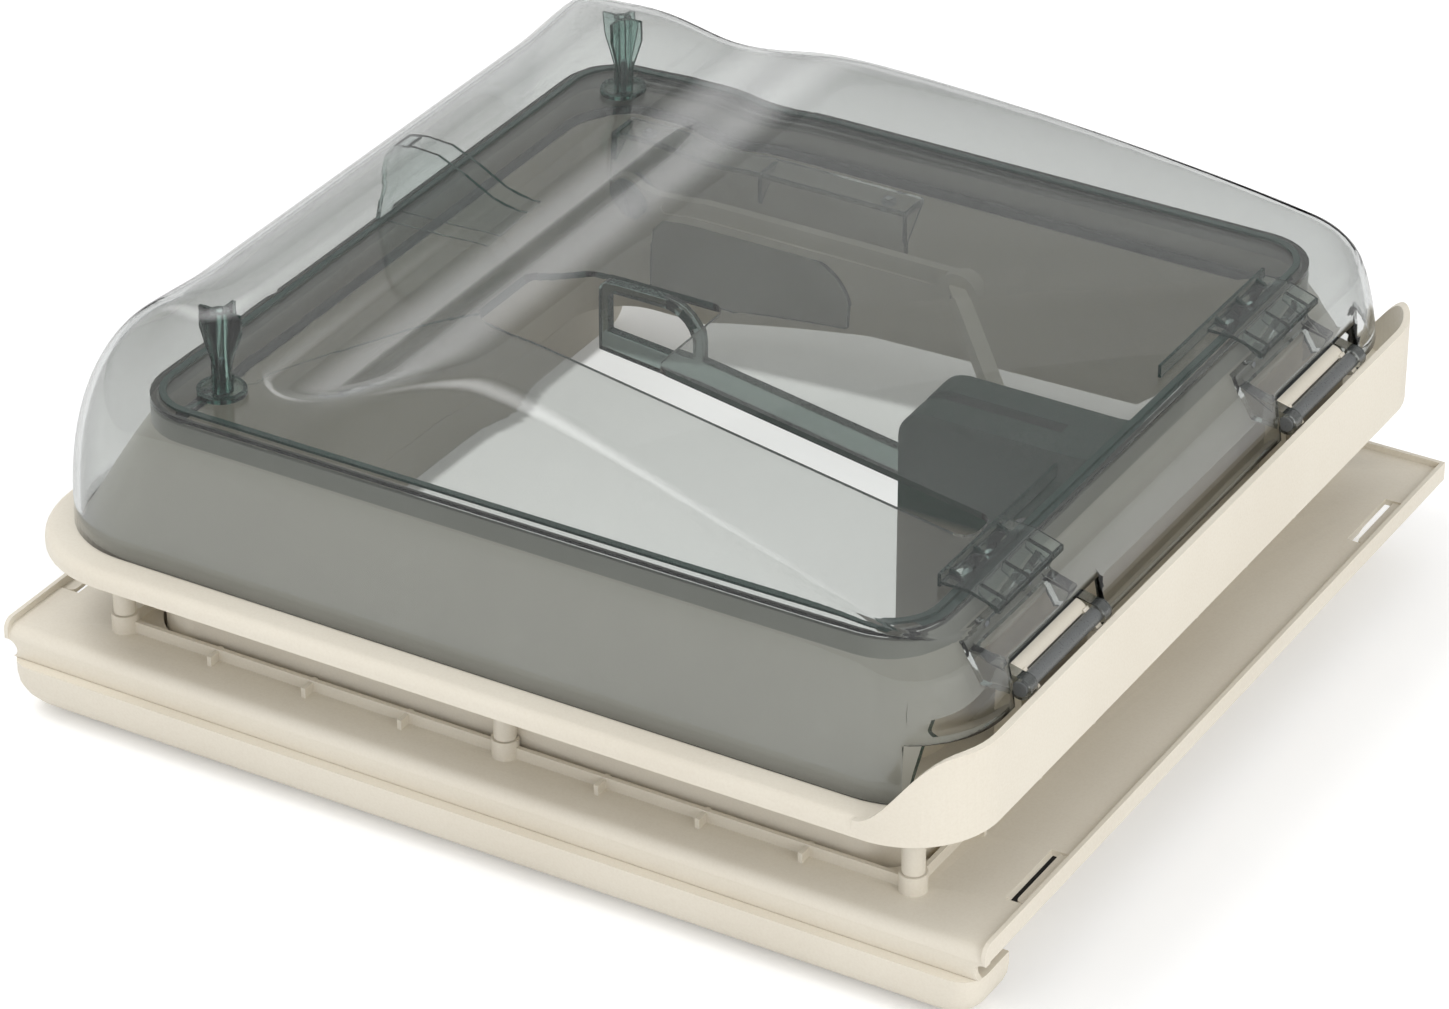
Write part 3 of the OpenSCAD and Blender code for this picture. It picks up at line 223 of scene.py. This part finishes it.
def make_mould_grain():
    """Fine spark-eroded grain and a slow drift of tone, as on moulded plastic."""
    group, given, out = shader_group(
        "mould_grain",
        [("Tone", "NodeSocketColor", (0.5, 0.5, 0.5, 1)),
         ("Shade", "NodeSocketColor", (0.4, 0.4, 0.4, 1)),
         ("Grain Scale", "NodeSocketFloat", 900.0),
         ("Rough Low", "NodeSocketFloat", 0.4), ("Rough High", "NodeSocketFloat", 0.6)],
        [("Colour", "NodeSocketColor"), ("Roughness", "NodeSocketFloat"),
         ("Height", "NodeSocketFloat")])
    coords = object_place(group)
    fine = noise_node(group, coords, given.outputs["Grain Scale"], 2.0)
    slow = noise_node(group, coords, 9.0, 3.0)
    drift = ramp_node(group, slow, 0.35, 0.7, 0.0, 0.7)
    speck = ramp_node(group, fine, 0.3, 0.8, 0.0, 0.5)
    both = math_node(group, "ADD", drift, speck, clamp=True)
    colour = mix_node(group, both, given.outputs["Tone"], given.outputs["Shade"])
    rough = ramp_node(group, fine, 0.25, 0.75,
                      given.outputs["Rough Low"], given.outputs["Rough High"])
    group.links.new(colour, out.inputs["Colour"])
    group.links.new(rough, out.inputs["Roughness"])
    group.links.new(fine, out.inputs["Height"])
    return group


def make_polish_haze():
    """Faint smears and hairline marks, as on polished acrylic."""
    group, given, out = shader_group(
        "polish_haze",
        [("Rough Low", "NodeSocketFloat", 0.02), ("Rough High", "NodeSocketFloat", 0.1),
         ("Smear Scale", "NodeSocketFloat", 12.0), ("Hair Scale", "NodeSocketFloat", 260.0)],
        [("Roughness", "NodeSocketFloat"), ("Height", "NodeSocketFloat")])
    coords = object_place(group)
    smear = noise_node(group, coords, given.outputs["Smear Scale"], 4.0)
    stretch = group.nodes.new("ShaderNodeMapping")
    stretch.inputs["Scale"].default_value = (1.0, 0.08, 1.0)
    stretch.inputs["Rotation"].default_value = (0.0, 0.0, 0.5)
    group.links.new(coords, stretch.inputs["Vector"])
    hair = noise_node(group, stretch.outputs["Vector"], given.outputs["Hair Scale"], 1.0)
    mask = math_node(group, "MULTIPLY", ramp_node(group, smear, 0.42, 0.75, 0.0, 1.0),
                     ramp_node(group, hair, 0.45, 0.8, 0.25, 1.0))
    rough = ramp_node(group, mask, 0.0, 1.0,
                      given.outputs["Rough Low"], given.outputs["Rough High"])
    group.links.new(rough, out.inputs["Roughness"])
    group.links.new(smear, out.inputs["Height"])
    return group


MOULD_GRAIN = make_mould_grain()
POLISH_HAZE = make_polish_haze()


def new_material(name):
    """Material with a Principled BSDF joined to its output."""
    material = bpy.data.materials.new(name)
    material.use_nodes = True
    tree = material.node_tree
    return material, tree, tree.nodes["Principled BSDF"], tree.nodes["Material Output"]


def place_group(tree, group, **values):
    """Node group placed in a material, with its own values."""
    node = tree.nodes.new("ShaderNodeGroup")
    node.node_tree = group
    for label, value in values.items():
        node.inputs[label.replace("_", " ")].default_value = value
    return node


def bump(tree, height, shader, strength, distance):
    """Bump from a height into the shader's normal."""
    node = tree.nodes.new("ShaderNodeBump")
    node.inputs["Strength"].default_value = strength
    node.inputs["Distance"].default_value = distance
    tree.links.new(height, node.inputs["Height"])
    tree.links.new(node.outputs["Normal"], shader.inputs["Normal"])


def moulded_plastic(name, tone, shade, grain=900.0, rough=(0.4, 0.6), strength=0.12,
                    metallic=0.0, depth=0.2 * MM):
    """Opaque moulded plastic with a fine grain, or metal with fine marks."""
    material, tree, shader, _ = new_material(name)
    shader.inputs["Metallic"].default_value = metallic
    grain_node = place_group(tree, MOULD_GRAIN, Tone=tone, Shade=shade, Grain_Scale=grain,
                             Rough_Low=rough[0], Rough_High=rough[1])
    tree.links.new(grain_node.outputs["Colour"], shader.inputs["Base Color"])
    tree.links.new(grain_node.outputs["Roughness"], shader.inputs["Roughness"])
    bump(tree, grain_node.outputs["Height"], shader, strength, depth)
    return material


def two_tones(tree, height, change, lower, upper, shaded, **grain):
    """Grained colour that changes between two heights, and the last grain node."""
    sockets = []
    for tone in (lower, upper):
        grain_node = place_group(tree, MOULD_GRAIN, Tone=tone, Shade=darker(tone, shaded),
                                 **grain)
        sockets.append(grain_node.outputs["Colour"])
    factor = ramp_node(tree, height, change[0], change[1], 0.0, 1.0)
    return mix_node(tree, factor, *sockets), grain_node


def two_tone_plastic(name, upper, lower, change, blend):
    """Moulded plastic whose colour changes at a height."""
    material, tree, shader, _ = new_material(name)
    colour, grain_node = two_tones(tree, place_axes(tree)["Z"], (change - blend, change + blend),
                                   lower, upper, 0.9, Rough_Low=0.35, Rough_High=0.5)
    tree.links.new(colour, shader.inputs["Base Color"])
    tree.links.new(grain_node.outputs["Roughness"], shader.inputs["Roughness"])
    bump(tree, grain_node.outputs["Height"], shader, 0.12, 0.2 * MM)
    return material


def dense_smoke(tree, glass, skirt):
    """Glass above a height, and below it a dense smoke in the colours of a band and a skirt."""
    band_top, band_tone, skirt_top, skirt_tone = skirt
    height = place_axes(tree)["Z"]
    smoke = tree.nodes.new("ShaderNodeBsdfPrincipled")
    colour, grain_node = two_tones(tree, height, (skirt_top - SKIRT_BLEND, skirt_top),
                                   skirt_tone, band_tone, 0.96,
                                   Grain_Scale=40.0, Rough_Low=0.3, Rough_High=0.45)
    tree.links.new(colour, smoke.inputs["Base Color"])
    tree.links.new(grain_node.outputs["Roughness"], smoke.inputs["Roughness"])
    both = tree.nodes.new("ShaderNodeMixShader")
    tree.links.new(ramp_node(tree, height, band_top - PANE_BLEND, band_top, 1.0, 0.0),
                   both.inputs["Fac"])
    tree.links.new(glass.outputs["BSDF"], both.inputs[1])
    tree.links.new(smoke.outputs["BSDF"], both.inputs[2])
    return both


def acrylic(name, tint, body, density, rough=(0.01, 0.05), shade=0.9, rim=None, skirt=None):
    """Solid acrylic: it bends light, lets the lamps through, and darkens along its edges.

    A rim colour tints it where it is seen at a low angle. A skirt gives the heights and colours
    of a band and of the skirt below it, which are a dense smoke.
    """
    material, tree, shader, output = new_material(name)
    haze = place_group(tree, POLISH_HAZE, Rough_Low=rough[0], Rough_High=rough[1])
    shader.inputs["Base Color"].default_value = tint
    if rim:
        turned = tree.nodes.new("ShaderNodeLayerWeight").outputs["Facing"]
        toned = mix_node(tree, ramp_node(tree, turned, 0.2, 1.0, 0.0, 1.0), tint, rim)
        tree.links.new(toned, shader.inputs["Base Color"])
    shader.inputs["Transmission Weight"].default_value = 1.0
    shader.inputs["IOR"].default_value = ACRYLIC_IOR
    tree.links.new(haze.outputs["Roughness"], shader.inputs["Roughness"])
    bump(tree, haze.outputs["Height"], shader, 0.02, 0.5 * MM)
    surface = dense_smoke(tree, shader, skirt) if skirt else shader
    through = tree.nodes.new("ShaderNodeBsdfTransparent")
    through.inputs["Color"].default_value = (shade, shade, shade, 1)
    path = tree.nodes.new("ShaderNodeLightPath")
    mix = tree.nodes.new("ShaderNodeMixShader")
    tree.links.new(path.outputs["Is Shadow Ray"], mix.inputs["Fac"])
    tree.links.new(surface.outputs[0], mix.inputs[1])
    tree.links.new(through.outputs["BSDF"], mix.inputs[2])
    tree.links.new(mix.outputs["Shader"], output.inputs["Surface"])
    absorb = tree.nodes.new("ShaderNodeVolumeAbsorption")
    absorb.inputs["Color"].default_value = body
    absorb.inputs["Density"].default_value = density
    tree.links.new(absorb.outputs["Volume"], output.inputs["Volume"])
    return material


CREAM = moulded_plastic("cream_plastic", linear(232, 225, 210), linear(226, 218, 202))
GREY = moulded_plastic("dark_grey_plastic", linear(112, 114, 114), linear(98, 100, 100),
                       rough=(0.25, 0.4))
RUBBER = moulded_plastic("black_rubber", linear(38, 38, 38), linear(30, 30, 31),
                         1400.0, (0.6, 0.8), 0.25)
ZINC = moulded_plastic("zinc_steel", linear(196, 198, 202), linear(150, 152, 158),
                       2400.0, (0.22, 0.42), 0.1, metallic=1.0, depth=0.05 * MM)
HOUSING = two_tone_plastic("housing_plastic", linear(8, 74, 57), linear(180, 176, 162),
                           HOUSING_CHANGE, HOUSING_BLEND)
CLEAR = acrylic("clear_acrylic", (0.76, 0.77, 0.762, 1), (0.62, 0.70, 0.67, 1), 9.0,
                (0.005, 0.025), shade=0.93, rim=(0.36, 0.37, 0.365, 1))
SPACER_CLEAR = acrylic("spacer_acrylic", (0.93, 0.95, 0.945, 1), (0.35, 0.60, 0.54, 1), 40.0)
SMOKE_TINT, SMOKE_BODY, SMOKE_DENSITY = (0.735, 0.745, 0.73, 1), (0.42, 0.50, 0.47, 1), 22.0
SMOKED = acrylic("smoked_acrylic", SMOKE_TINT, SMOKE_BODY, SMOKE_DENSITY, shade=0.86)
SMOKED_DOME = acrylic("smoked_dome_acrylic", SMOKE_TINT, SMOKE_BODY, SMOKE_DENSITY, shade=0.86,
                      skirt=(PANE_UNDER, linear(153, 154, 147), SKIRT_TOP, linear(185, 183, 173)))
PLATE_SMOKED = acrylic("plate_smoked_acrylic", (0.45, 0.46, 0.44, 1), SMOKE_BODY, 40.0, shade=0.7)
SMOKED_EDGE = moulded_plastic("smoked_edge", linear(56, 80, 73), linear(46, 68, 62),
                              rough=(0.12, 0.25), strength=0.02)
GREEN_CLEAR = acrylic("green_edged_acrylic", (0.70, 0.80, 0.77, 1), (0.14, 0.46, 0.39, 1), 150.0)
BRACKET_CLEAR = acrylic("bracket_acrylic", (0.82, 0.87, 0.855, 1), (0.24, 0.52, 0.46, 1), 60.0)
GREEN_SMOKED = acrylic("green_smoked_acrylic", (0.32, 0.37, 0.355, 1), (0.26, 0.48, 0.42, 1),
                       60.0)
GREEN_EDGE = moulded_plastic("green_edge", linear(18, 58, 48), linear(10, 44, 36),
                             rough=(0.2, 0.35), strength=0.02)


def finish_piece(name, bm, body, material, node, bevel, edge=None):
    """Object of a mesh, smooth shaded with softened edges, that stands for a CAD node."""
    mesh = bpy.data.meshes.new(name)
    bm.to_mesh(mesh)
    bm.free()
    mesh.shade_smooth()
    mesh.set_sharp_from_angle(angle=SHARP_ANGLE)
    piece = bpy.data.objects.new(name, mesh)
    scene.collection.objects.link(piece)
    mesh.materials.append(material)
    if edge:
        mesh.materials.append(edge)
    if bevel:
        soften = piece.modifiers.new("soft_edges", "BEVEL")
        soften.width = bevel
        soften.segments = BEVEL_SEGMENTS
        soften.limit_method = "ANGLE"
        soften.angle_limit = BEVEL_ANGLE
        soften.harden_normals = True
    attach(piece, body)
    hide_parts(node)
    return piece


def is_edge_face(face, width):
    """Whether a face is narrow and stands at an angle to its neighbours along its length."""
    if 2 * face.calc_area() / face.calc_perimeter() >= width:
        return False
    longest = max(e.calc_length() for e in face.edges)
    turns = [e.calc_face_angle(math.pi) for e in face.edges if e.calc_length() > longest / 2]
    return not any(ONE_FACE_ANGLE < turn < SHARP_ANGLE for turn in turns)


def soften_node(node, body, material, bevel, edge=None, edge_width=PLATE_EDGE, turn=0):
    """Copy of a CAD node with merged faces and softened edges.

    Its narrow faces can take an edge material.
    """
    bm = bmesh.new()
    bm.from_mesh(cad[node].data)
    bmesh.ops.remove_doubles(bm, verts=bm.verts, dist=MERGE_DISTANCE)
    bmesh.ops.dissolve_limit(bm, angle_limit=FLAT_ANGLE, verts=bm.verts, edges=bm.edges)
    if turn:
        low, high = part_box(node)
        bmesh.ops.rotate(bm, verts=bm.verts, cent=(low + high) / 2,
                         matrix=Matrix.Rotation(math.radians(turn), 3, "Z"))
    if edge:
        for face in bm.faces:
            face.material_index = int(is_edge_face(face, edge_width))
    return finish_piece(node + "_piece", bm, body, material, node, bevel, edge)


# Outer dome, on a grid whose rings follow the foot's rounded outline
dome_low, dome_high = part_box("outer_dome")
FLANGE_TOP = dome_low.z - FOOT_LIFT
DOME_MID_X = (dome_low.x + dome_high.x) / 2
DOME_HALF_X = (dome_high.x - dome_low.x) / 2
DOME_HALF_Y = dome_high.y
DOME_FIT = min((dome_high.z - dome_low.z) / CREST_H, 1.0)
GRID_STEPS = 108
WALL_SHARE = 0.5


def ease(u):
    """Smooth rise from 0 to 1."""
    return (1 - math.cos(math.pi * u)) / 2


def wave_height(x):
    """Height of the dome's top along X: lip, valley, crest and slope."""
    lip, valley, crest = (dome_low.x + at for at in (LIP_AT, VALLEY_AT, CREST_AT))
    if x < lip:
        return LIP_H
    if x < valley:
        return LIP_H + (VALLEY_H - LIP_H) * ease((x - lip) / (valley - lip))
    if x < crest:
        return VALLEY_H + (CREST_H - VALLEY_H) * ease((x - valley) / (crest - valley))
    return CREST_H - (CREST_H - SLOPE_H) * ((x - crest) / (SLOPE_END - crest)) ** SLOPE_POWER


def dome_height(x, inset, draw):
    """Height of the dome at a place along X and a distance from its foot.

    The draw rounds the shoulder.
    """
    run = min(inset * (1 - draw) / SIDE_W, 1)
    side = SIDE_H * (1 - (1 - run) ** SIDE_POWER) ** (1 / SIDE_POWER)
    top = wave_height(x)
    near = max(EDGE_BLEND - abs(side - top), 0) / EDGE_BLEND
    return min(side, top) - near * near * EDGE_BLEND / 4


def along_side(share, half_across, half_along, radius):
    """Point of a rounded side, at a share of its length from the middle to the corner."""
    straight = half_along - radius
    run = share * (straight + radius * math.pi / 4)
    if run <= straight or radius <= 0:
        return half_across, min(run, half_along)
    turn = (run - straight) / radius
    return half_across - radius * (1 - math.cos(turn)), straight + radius * math.sin(turn)


def corner_share(share):
    """Half at a side's corner, falling to none away from it."""
    return ease(1 - min((1 - share) / DRAW_FADE, 1)) / 2


def dome_place(s, t):
    """Point of the dome for a place on the square grid from -1 to 1."""
    ring = max(abs(s), abs(t), 1e-9)
    if ring >= WALL_SHARE:
        climb = (1 - ring) / (1 - WALL_SHARE) * math.pi / 2
        inset = SIDE_W * (1 - math.cos(climb) ** (2 / SIDE_POWER))
        shrink = 1.0
    else:
        inset = SIDE_W
        shrink = ring / WALL_SHARE
    half_x, half_y, radius = DOME_HALF_X - inset, DOME_HALF_Y - inset, max(FOOT_R - inset, 0)
    if abs(s) >= abs(t):
        x, y = along_side(abs(t) / ring, half_x, half_y, radius)
        end_share = 1 - corner_share(abs(t) / ring)
    else:
        y, x = along_side(abs(s) / ring, half_y, half_x, radius)
        end_share = corner_share(abs(s) / ring)
    draw = (OPEN_DRAW if s < 0 else HINGE_DRAW) * end_share
    x = DOME_MID_X + math.copysign(x * shrink, s)
    y = math.copysign(y * shrink, t)
    return Vector((x, y, dome_low.z + DOME_FIT * dome_height(x, inset, draw)))


def cut_room(bm, low, high):
    """Cuts a box-shaped room out of a skin."""
    low, high = Vector(low), Vector(high)
    planes = [(low, (1, 0, 0)), (high, (0, 0, 1)), (low, (0, 1, 0)), (high, (0, 1, 0))]

    def within(point, grow):
        return all(a - grow <= c <= b + grow for a, b, c in zip(low, high, point))

    for place, normal in planes:
        faces = [f for f in bm.faces if within(f.calc_center_median(), CUT_MARGIN)]
        edges = {e for f in faces for e in f.edges}
        verts = {v for f in faces for v in f.verts}
        bmesh.ops.bisect_plane(bm, geom=faces + list(edges) + list(verts), dist=CUT_SNAP,
                               plane_co=place, plane_no=normal)
    doomed = [f for f in bm.faces if within(f.calc_center_median(), 0)]
    bmesh.ops.delete(bm, geom=doomed, context="FACES")


def build_outer_dome():
    """Clear wave-shaped outer dome with room for the hinges."""
    bm = bmesh.new()
    bmesh.ops.create_grid(bm, x_segments=GRID_STEPS, y_segments=GRID_STEPS, size=1.0)
    for vert in bm.verts:
        vert.co = dome_place(vert.co.x, vert.co.y)
    cut_room(bm, (HINGE_CUT_X, -CUT_REACH, 0), (CUT_REACH, CUT_REACH, FLANGE_TOP + HINGE_EDGE_H))
    for middle in (-HINGE_Y, HINGE_Y):
        cut_room(bm, (HINGE_CUT_X, middle - NOTCH_HALF, 0),
                 (CUT_REACH, middle + NOTCH_HALF, FLANGE_TOP + NOTCH_H))
    piece = finish_piece("outer_dome_shell", bm, "dome", CLEAR, "outer_dome", 0)
    wall = piece.modifiers.new("wall", "SOLIDIFY")
    wall.thickness = DOME_T
    wall.offset = -1.0
    wall.use_even_offset = True


build_outer_dome()

# Pieces on the dome
for node in ("spacer_post_front", "spacer_post_rear"):
    soften_node(node, "dome", GREEN_CLEAR, FINE_SOFT,
                GREEN_EDGE, POST_EDGE, POST_TURN)
for node in ("rim_bracket_front", "rim_bracket_rear"):
    soften_node(node, "dome", BRACKET_CLEAR, FINE_SOFT, GREEN_EDGE)
soften_node("lip_spacer", "dome", SPACER_CLEAR, FINE_SOFT, SMOKED_EDGE)
soften_node("inner_dome", "dome", SMOKED_DOME, PLATE_SOFT,
            SMOKED_EDGE, PANE_EDGE)
for node in ("hinge_leaf_front", "hinge_leaf_rear"):
    soften_node(node, "dome", SMOKED, PLATE_SOFT)
soften_node("guide_rail", "dome", SMOKED, THIN_SOFT, SMOKED_EDGE)
for node in ("hinge_rod_front", "hinge_rod_rear"):
    soften_node(node, "dome", GREY, PLATE_SOFT)
for node in ("post_screws", "leaf_rivets", "rail_screws"):
    soften_node(node, "dome", ZINC, FINE_SOFT)

# Pieces on the stay and the lever
soften_node("stay_arm", "stay", CREAM, ARM_SOFT)
soften_node("stay_grip", "stay", PLATE_SMOKED, PLATE_SOFT,
            SMOKED_EDGE, GRIP_EDGE)
soften_node("stay_screw", "stay", ZINC, THIN_SOFT)
soften_node("operating_lever", "lever", GREEN_SMOKED, PLATE_SOFT,
            GREEN_EDGE, LEVER_EDGE)

# Pieces on the frame
for node in ("upper_frame", "stay_brace", "trim_frame"):
    soften_node(node, "frame", CREAM, FRAME_SOFT)
for node in ("hinge_block_front", "hinge_block_rear"):
    soften_node(node, "frame", CREAM, BLOCK_SOFT)
soften_node("lower_frame", "frame", CREAM, TRAY_SOFT)
for node in ("lever_housing", "housing_cover"):
    soften_node(node, "frame", HOUSING, FRAME_SOFT)
for node in ("block_screws", "housing_screws", "lever_pin", "stay_pivot", "clamp_screws"):
    soften_node(node, "frame", ZINC, FINE_SOFT)
for node in ("dome_seal", "roof_seal"):
    soften_node(node, "frame", RUBBER, FRAME_SOFT)


def build_floor():
    """Plain pale floor, lit a little from within.

    It has painted light below the roof opening and a painted shade below the hinge side.
    """
    bm = bmesh.new()
    bmesh.ops.create_grid(bm, x_segments=1, y_segments=1, size=FLOOR_SIZE)
    bmesh.ops.translate(bm, verts=bm.verts, vec=(0, 0, -FLOOR_DROP))
    mesh = bpy.data.meshes.new("studio_floor")
    bm.to_mesh(mesh)
    bm.free()
    floor = bpy.data.objects.new("studio_floor", mesh)
    scene.collection.objects.link(floor)
    material = moulded_plastic("floor_card", (0.93, 0.93, 0.93, 1), (0.91, 0.91, 0.91, 1),
                               300.0, (0.8, 0.95), 0.02)
    tree = material.node_tree
    shader = tree.nodes["Principled BSDF"]
    axes = place_axes(tree)
    reach = math_node(tree, "MAXIMUM", math_node(tree, "ABSOLUTE", axes["X"]),
                      math_node(tree, "ABSOLUTE", axes["Y"]))
    # Painted light: below the roof opening the floor glows far brighter, where the object's shadow
    # falls
    opening = ramp_node(tree, reach, *OPENING_REACH, OPENING_PAINTED_GLOW, FLOOR_GLOW)
    # Painted shade: a dark floor colour without glow below the hinge side, under the tray's slots
    shaded = math_node(tree, "MULTIPLY", soft_span(tree, axes["X"], PAINTED_SHADE_X),
                       soft_span(tree, axes["Y"], PAINTED_SHADE_Y))
    lit = ramp_node(tree, shaded, 0.0, 1.0, 1.0, 0.0)
    path = tree.nodes.new("ShaderNodeLightPath").outputs
    seen = math_node(tree, "MAXIMUM", path["Is Camera Ray"], path["Is Transmission Ray"])
    glow = math_node(tree, "MULTIPLY", math_node(tree, "MULTIPLY", opening, lit), seen)
    tree.links.new(glow, shader.inputs["Emission Color"])
    shader.inputs["Emission Strength"].default_value = 1.0
    card_colour = shader.inputs["Base Color"].links[0].from_socket
    tree.links.new(mix_node(tree, lit, PAINTED_SHADE_TONE, card_colour), shader.inputs["Base Color"])
    mesh.materials.append(material)


def build_world():
    """Even white studio, dimmer for the light it gives and for what mirrors it."""
    world = bpy.data.worlds.new("studio")
    scene.world = world
    world.use_nodes = True
    tree = world.node_tree
    background = tree.nodes["Background"]
    background.inputs["Color"].default_value = (1, 1, 1, 1)
    path = tree.nodes.new("ShaderNodeLightPath")
    level = STUDIO_LIGHT
    levels = (("Is Glossy Ray", STUDIO_GLOSS), ("Is Transmission Ray", 1.0), ("Is Camera Ray", 1.0))
    for ray, seen in levels:
        step = tree.nodes.new("ShaderNodeMapRange")
        tree.links.new(path.outputs[ray], step.inputs["Value"])
        feed(tree, step.inputs["To Min"], level)
        step.inputs["To Max"].default_value = seen
        level = step.outputs["Result"]
    tree.links.new(level, background.inputs["Strength"])


def soft_lamp(name, place, size, level, target=(0, 0, 0.1)):
    """Square soft lamp turned to a point, which no surface mirrors."""
    lamp = bpy.data.lights.new(name, "AREA")
    lamp.size = size
    lamp.energy = level * math.pi * size * size
    holder = bpy.data.objects.new(name, lamp)
    holder.location = place
    holder.rotation_euler = (Vector(target) - Vector(place)).to_track_quat("-Z", "Y").to_euler()
    holder.visible_glossy = False
    holder.visible_transmission = False
    scene.collection.objects.link(holder)


def mirror_card(name, place, width, height, level, target=(0, 0, 0.15)):
    """Glowing card with a soft edge, seen only in the surfaces that mirror it."""
    turn = (Vector(target) - Vector(place)).to_track_quat("-Z", "Y")
    bm = bmesh.new()
    bmesh.ops.create_grid(bm, x_segments=CARD_STEPS, y_segments=CARD_STEPS, size=1.0)
    mesh = bpy.data.meshes.new(name)
    glow = [((1 - v.co.x ** 2) * (1 - v.co.y ** 2)) ** 2 for v in bm.verts]
    for vert in bm.verts:
        flat = Vector((vert.co.x * width / 2, vert.co.y * height / 2, 0))
        vert.co = Vector(place) + turn @ flat
    bm.to_mesh(mesh)
    bm.free()
    mesh.attributes.new("glow", "FLOAT", "POINT").data.foreach_set("value", glow)
    material, tree, shader, _ = new_material(name)
    shader.inputs["Base Color"].default_value = (0, 0, 0, 1)
    shade = tree.nodes.new("ShaderNodeAttribute")
    shade.attribute_name = "glow"
    tree.links.new(shade.outputs["Fac"], shader.inputs["Emission Color"])
    shader.inputs["Emission Strength"].default_value = level
    mesh.materials.append(material)
    card = bpy.data.objects.new(name, mesh)
    scene.collection.objects.link(card)
    for ray in ("camera", "diffuse", "transmission", "volume_scatter", "shadow"):
        setattr(card, "visible_" + ray, False)


def build_camera():
    """Camera at the photo's viewing angle."""
    view = bpy.data.cameras.new("photo_camera")
    view.sensor_fit = "HORIZONTAL"
    view.sensor_width = SENSOR_WIDTH
    view.lens = CAMERA_LENS
    view.shift_x = (PHOTO_WIDTH / 2 - PHOTO_AXIS_X) / PHOTO_WIDTH
    view.clip_end = 100.0
    holder = bpy.data.objects.new("photo_camera", view)
    holder.location = CAMERA_PLACE
    holder.rotation_euler = (math.radians(90 - CAMERA_DOWN), 0, math.radians(CAMERA_TURN))
    scene.collection.objects.link(holder)
    scene.camera = holder


build_floor()
build_world()
soft_lamp("key_lamp", (-1.3, -0.6, 2.7), size=1.2, level=5.0)
soft_lamp("side_lamp", (2.7, -1.1, 1.5), size=1.6, level=3.0)
mirror_card("edge_card", (-1.3, 1.25, 2.5), width=3.6, height=0.9, level=4.5)
mirror_card("valley_card", (-1.9, 2.3, 0.75), width=3.4, height=2.0, level=1.1)
build_camera()
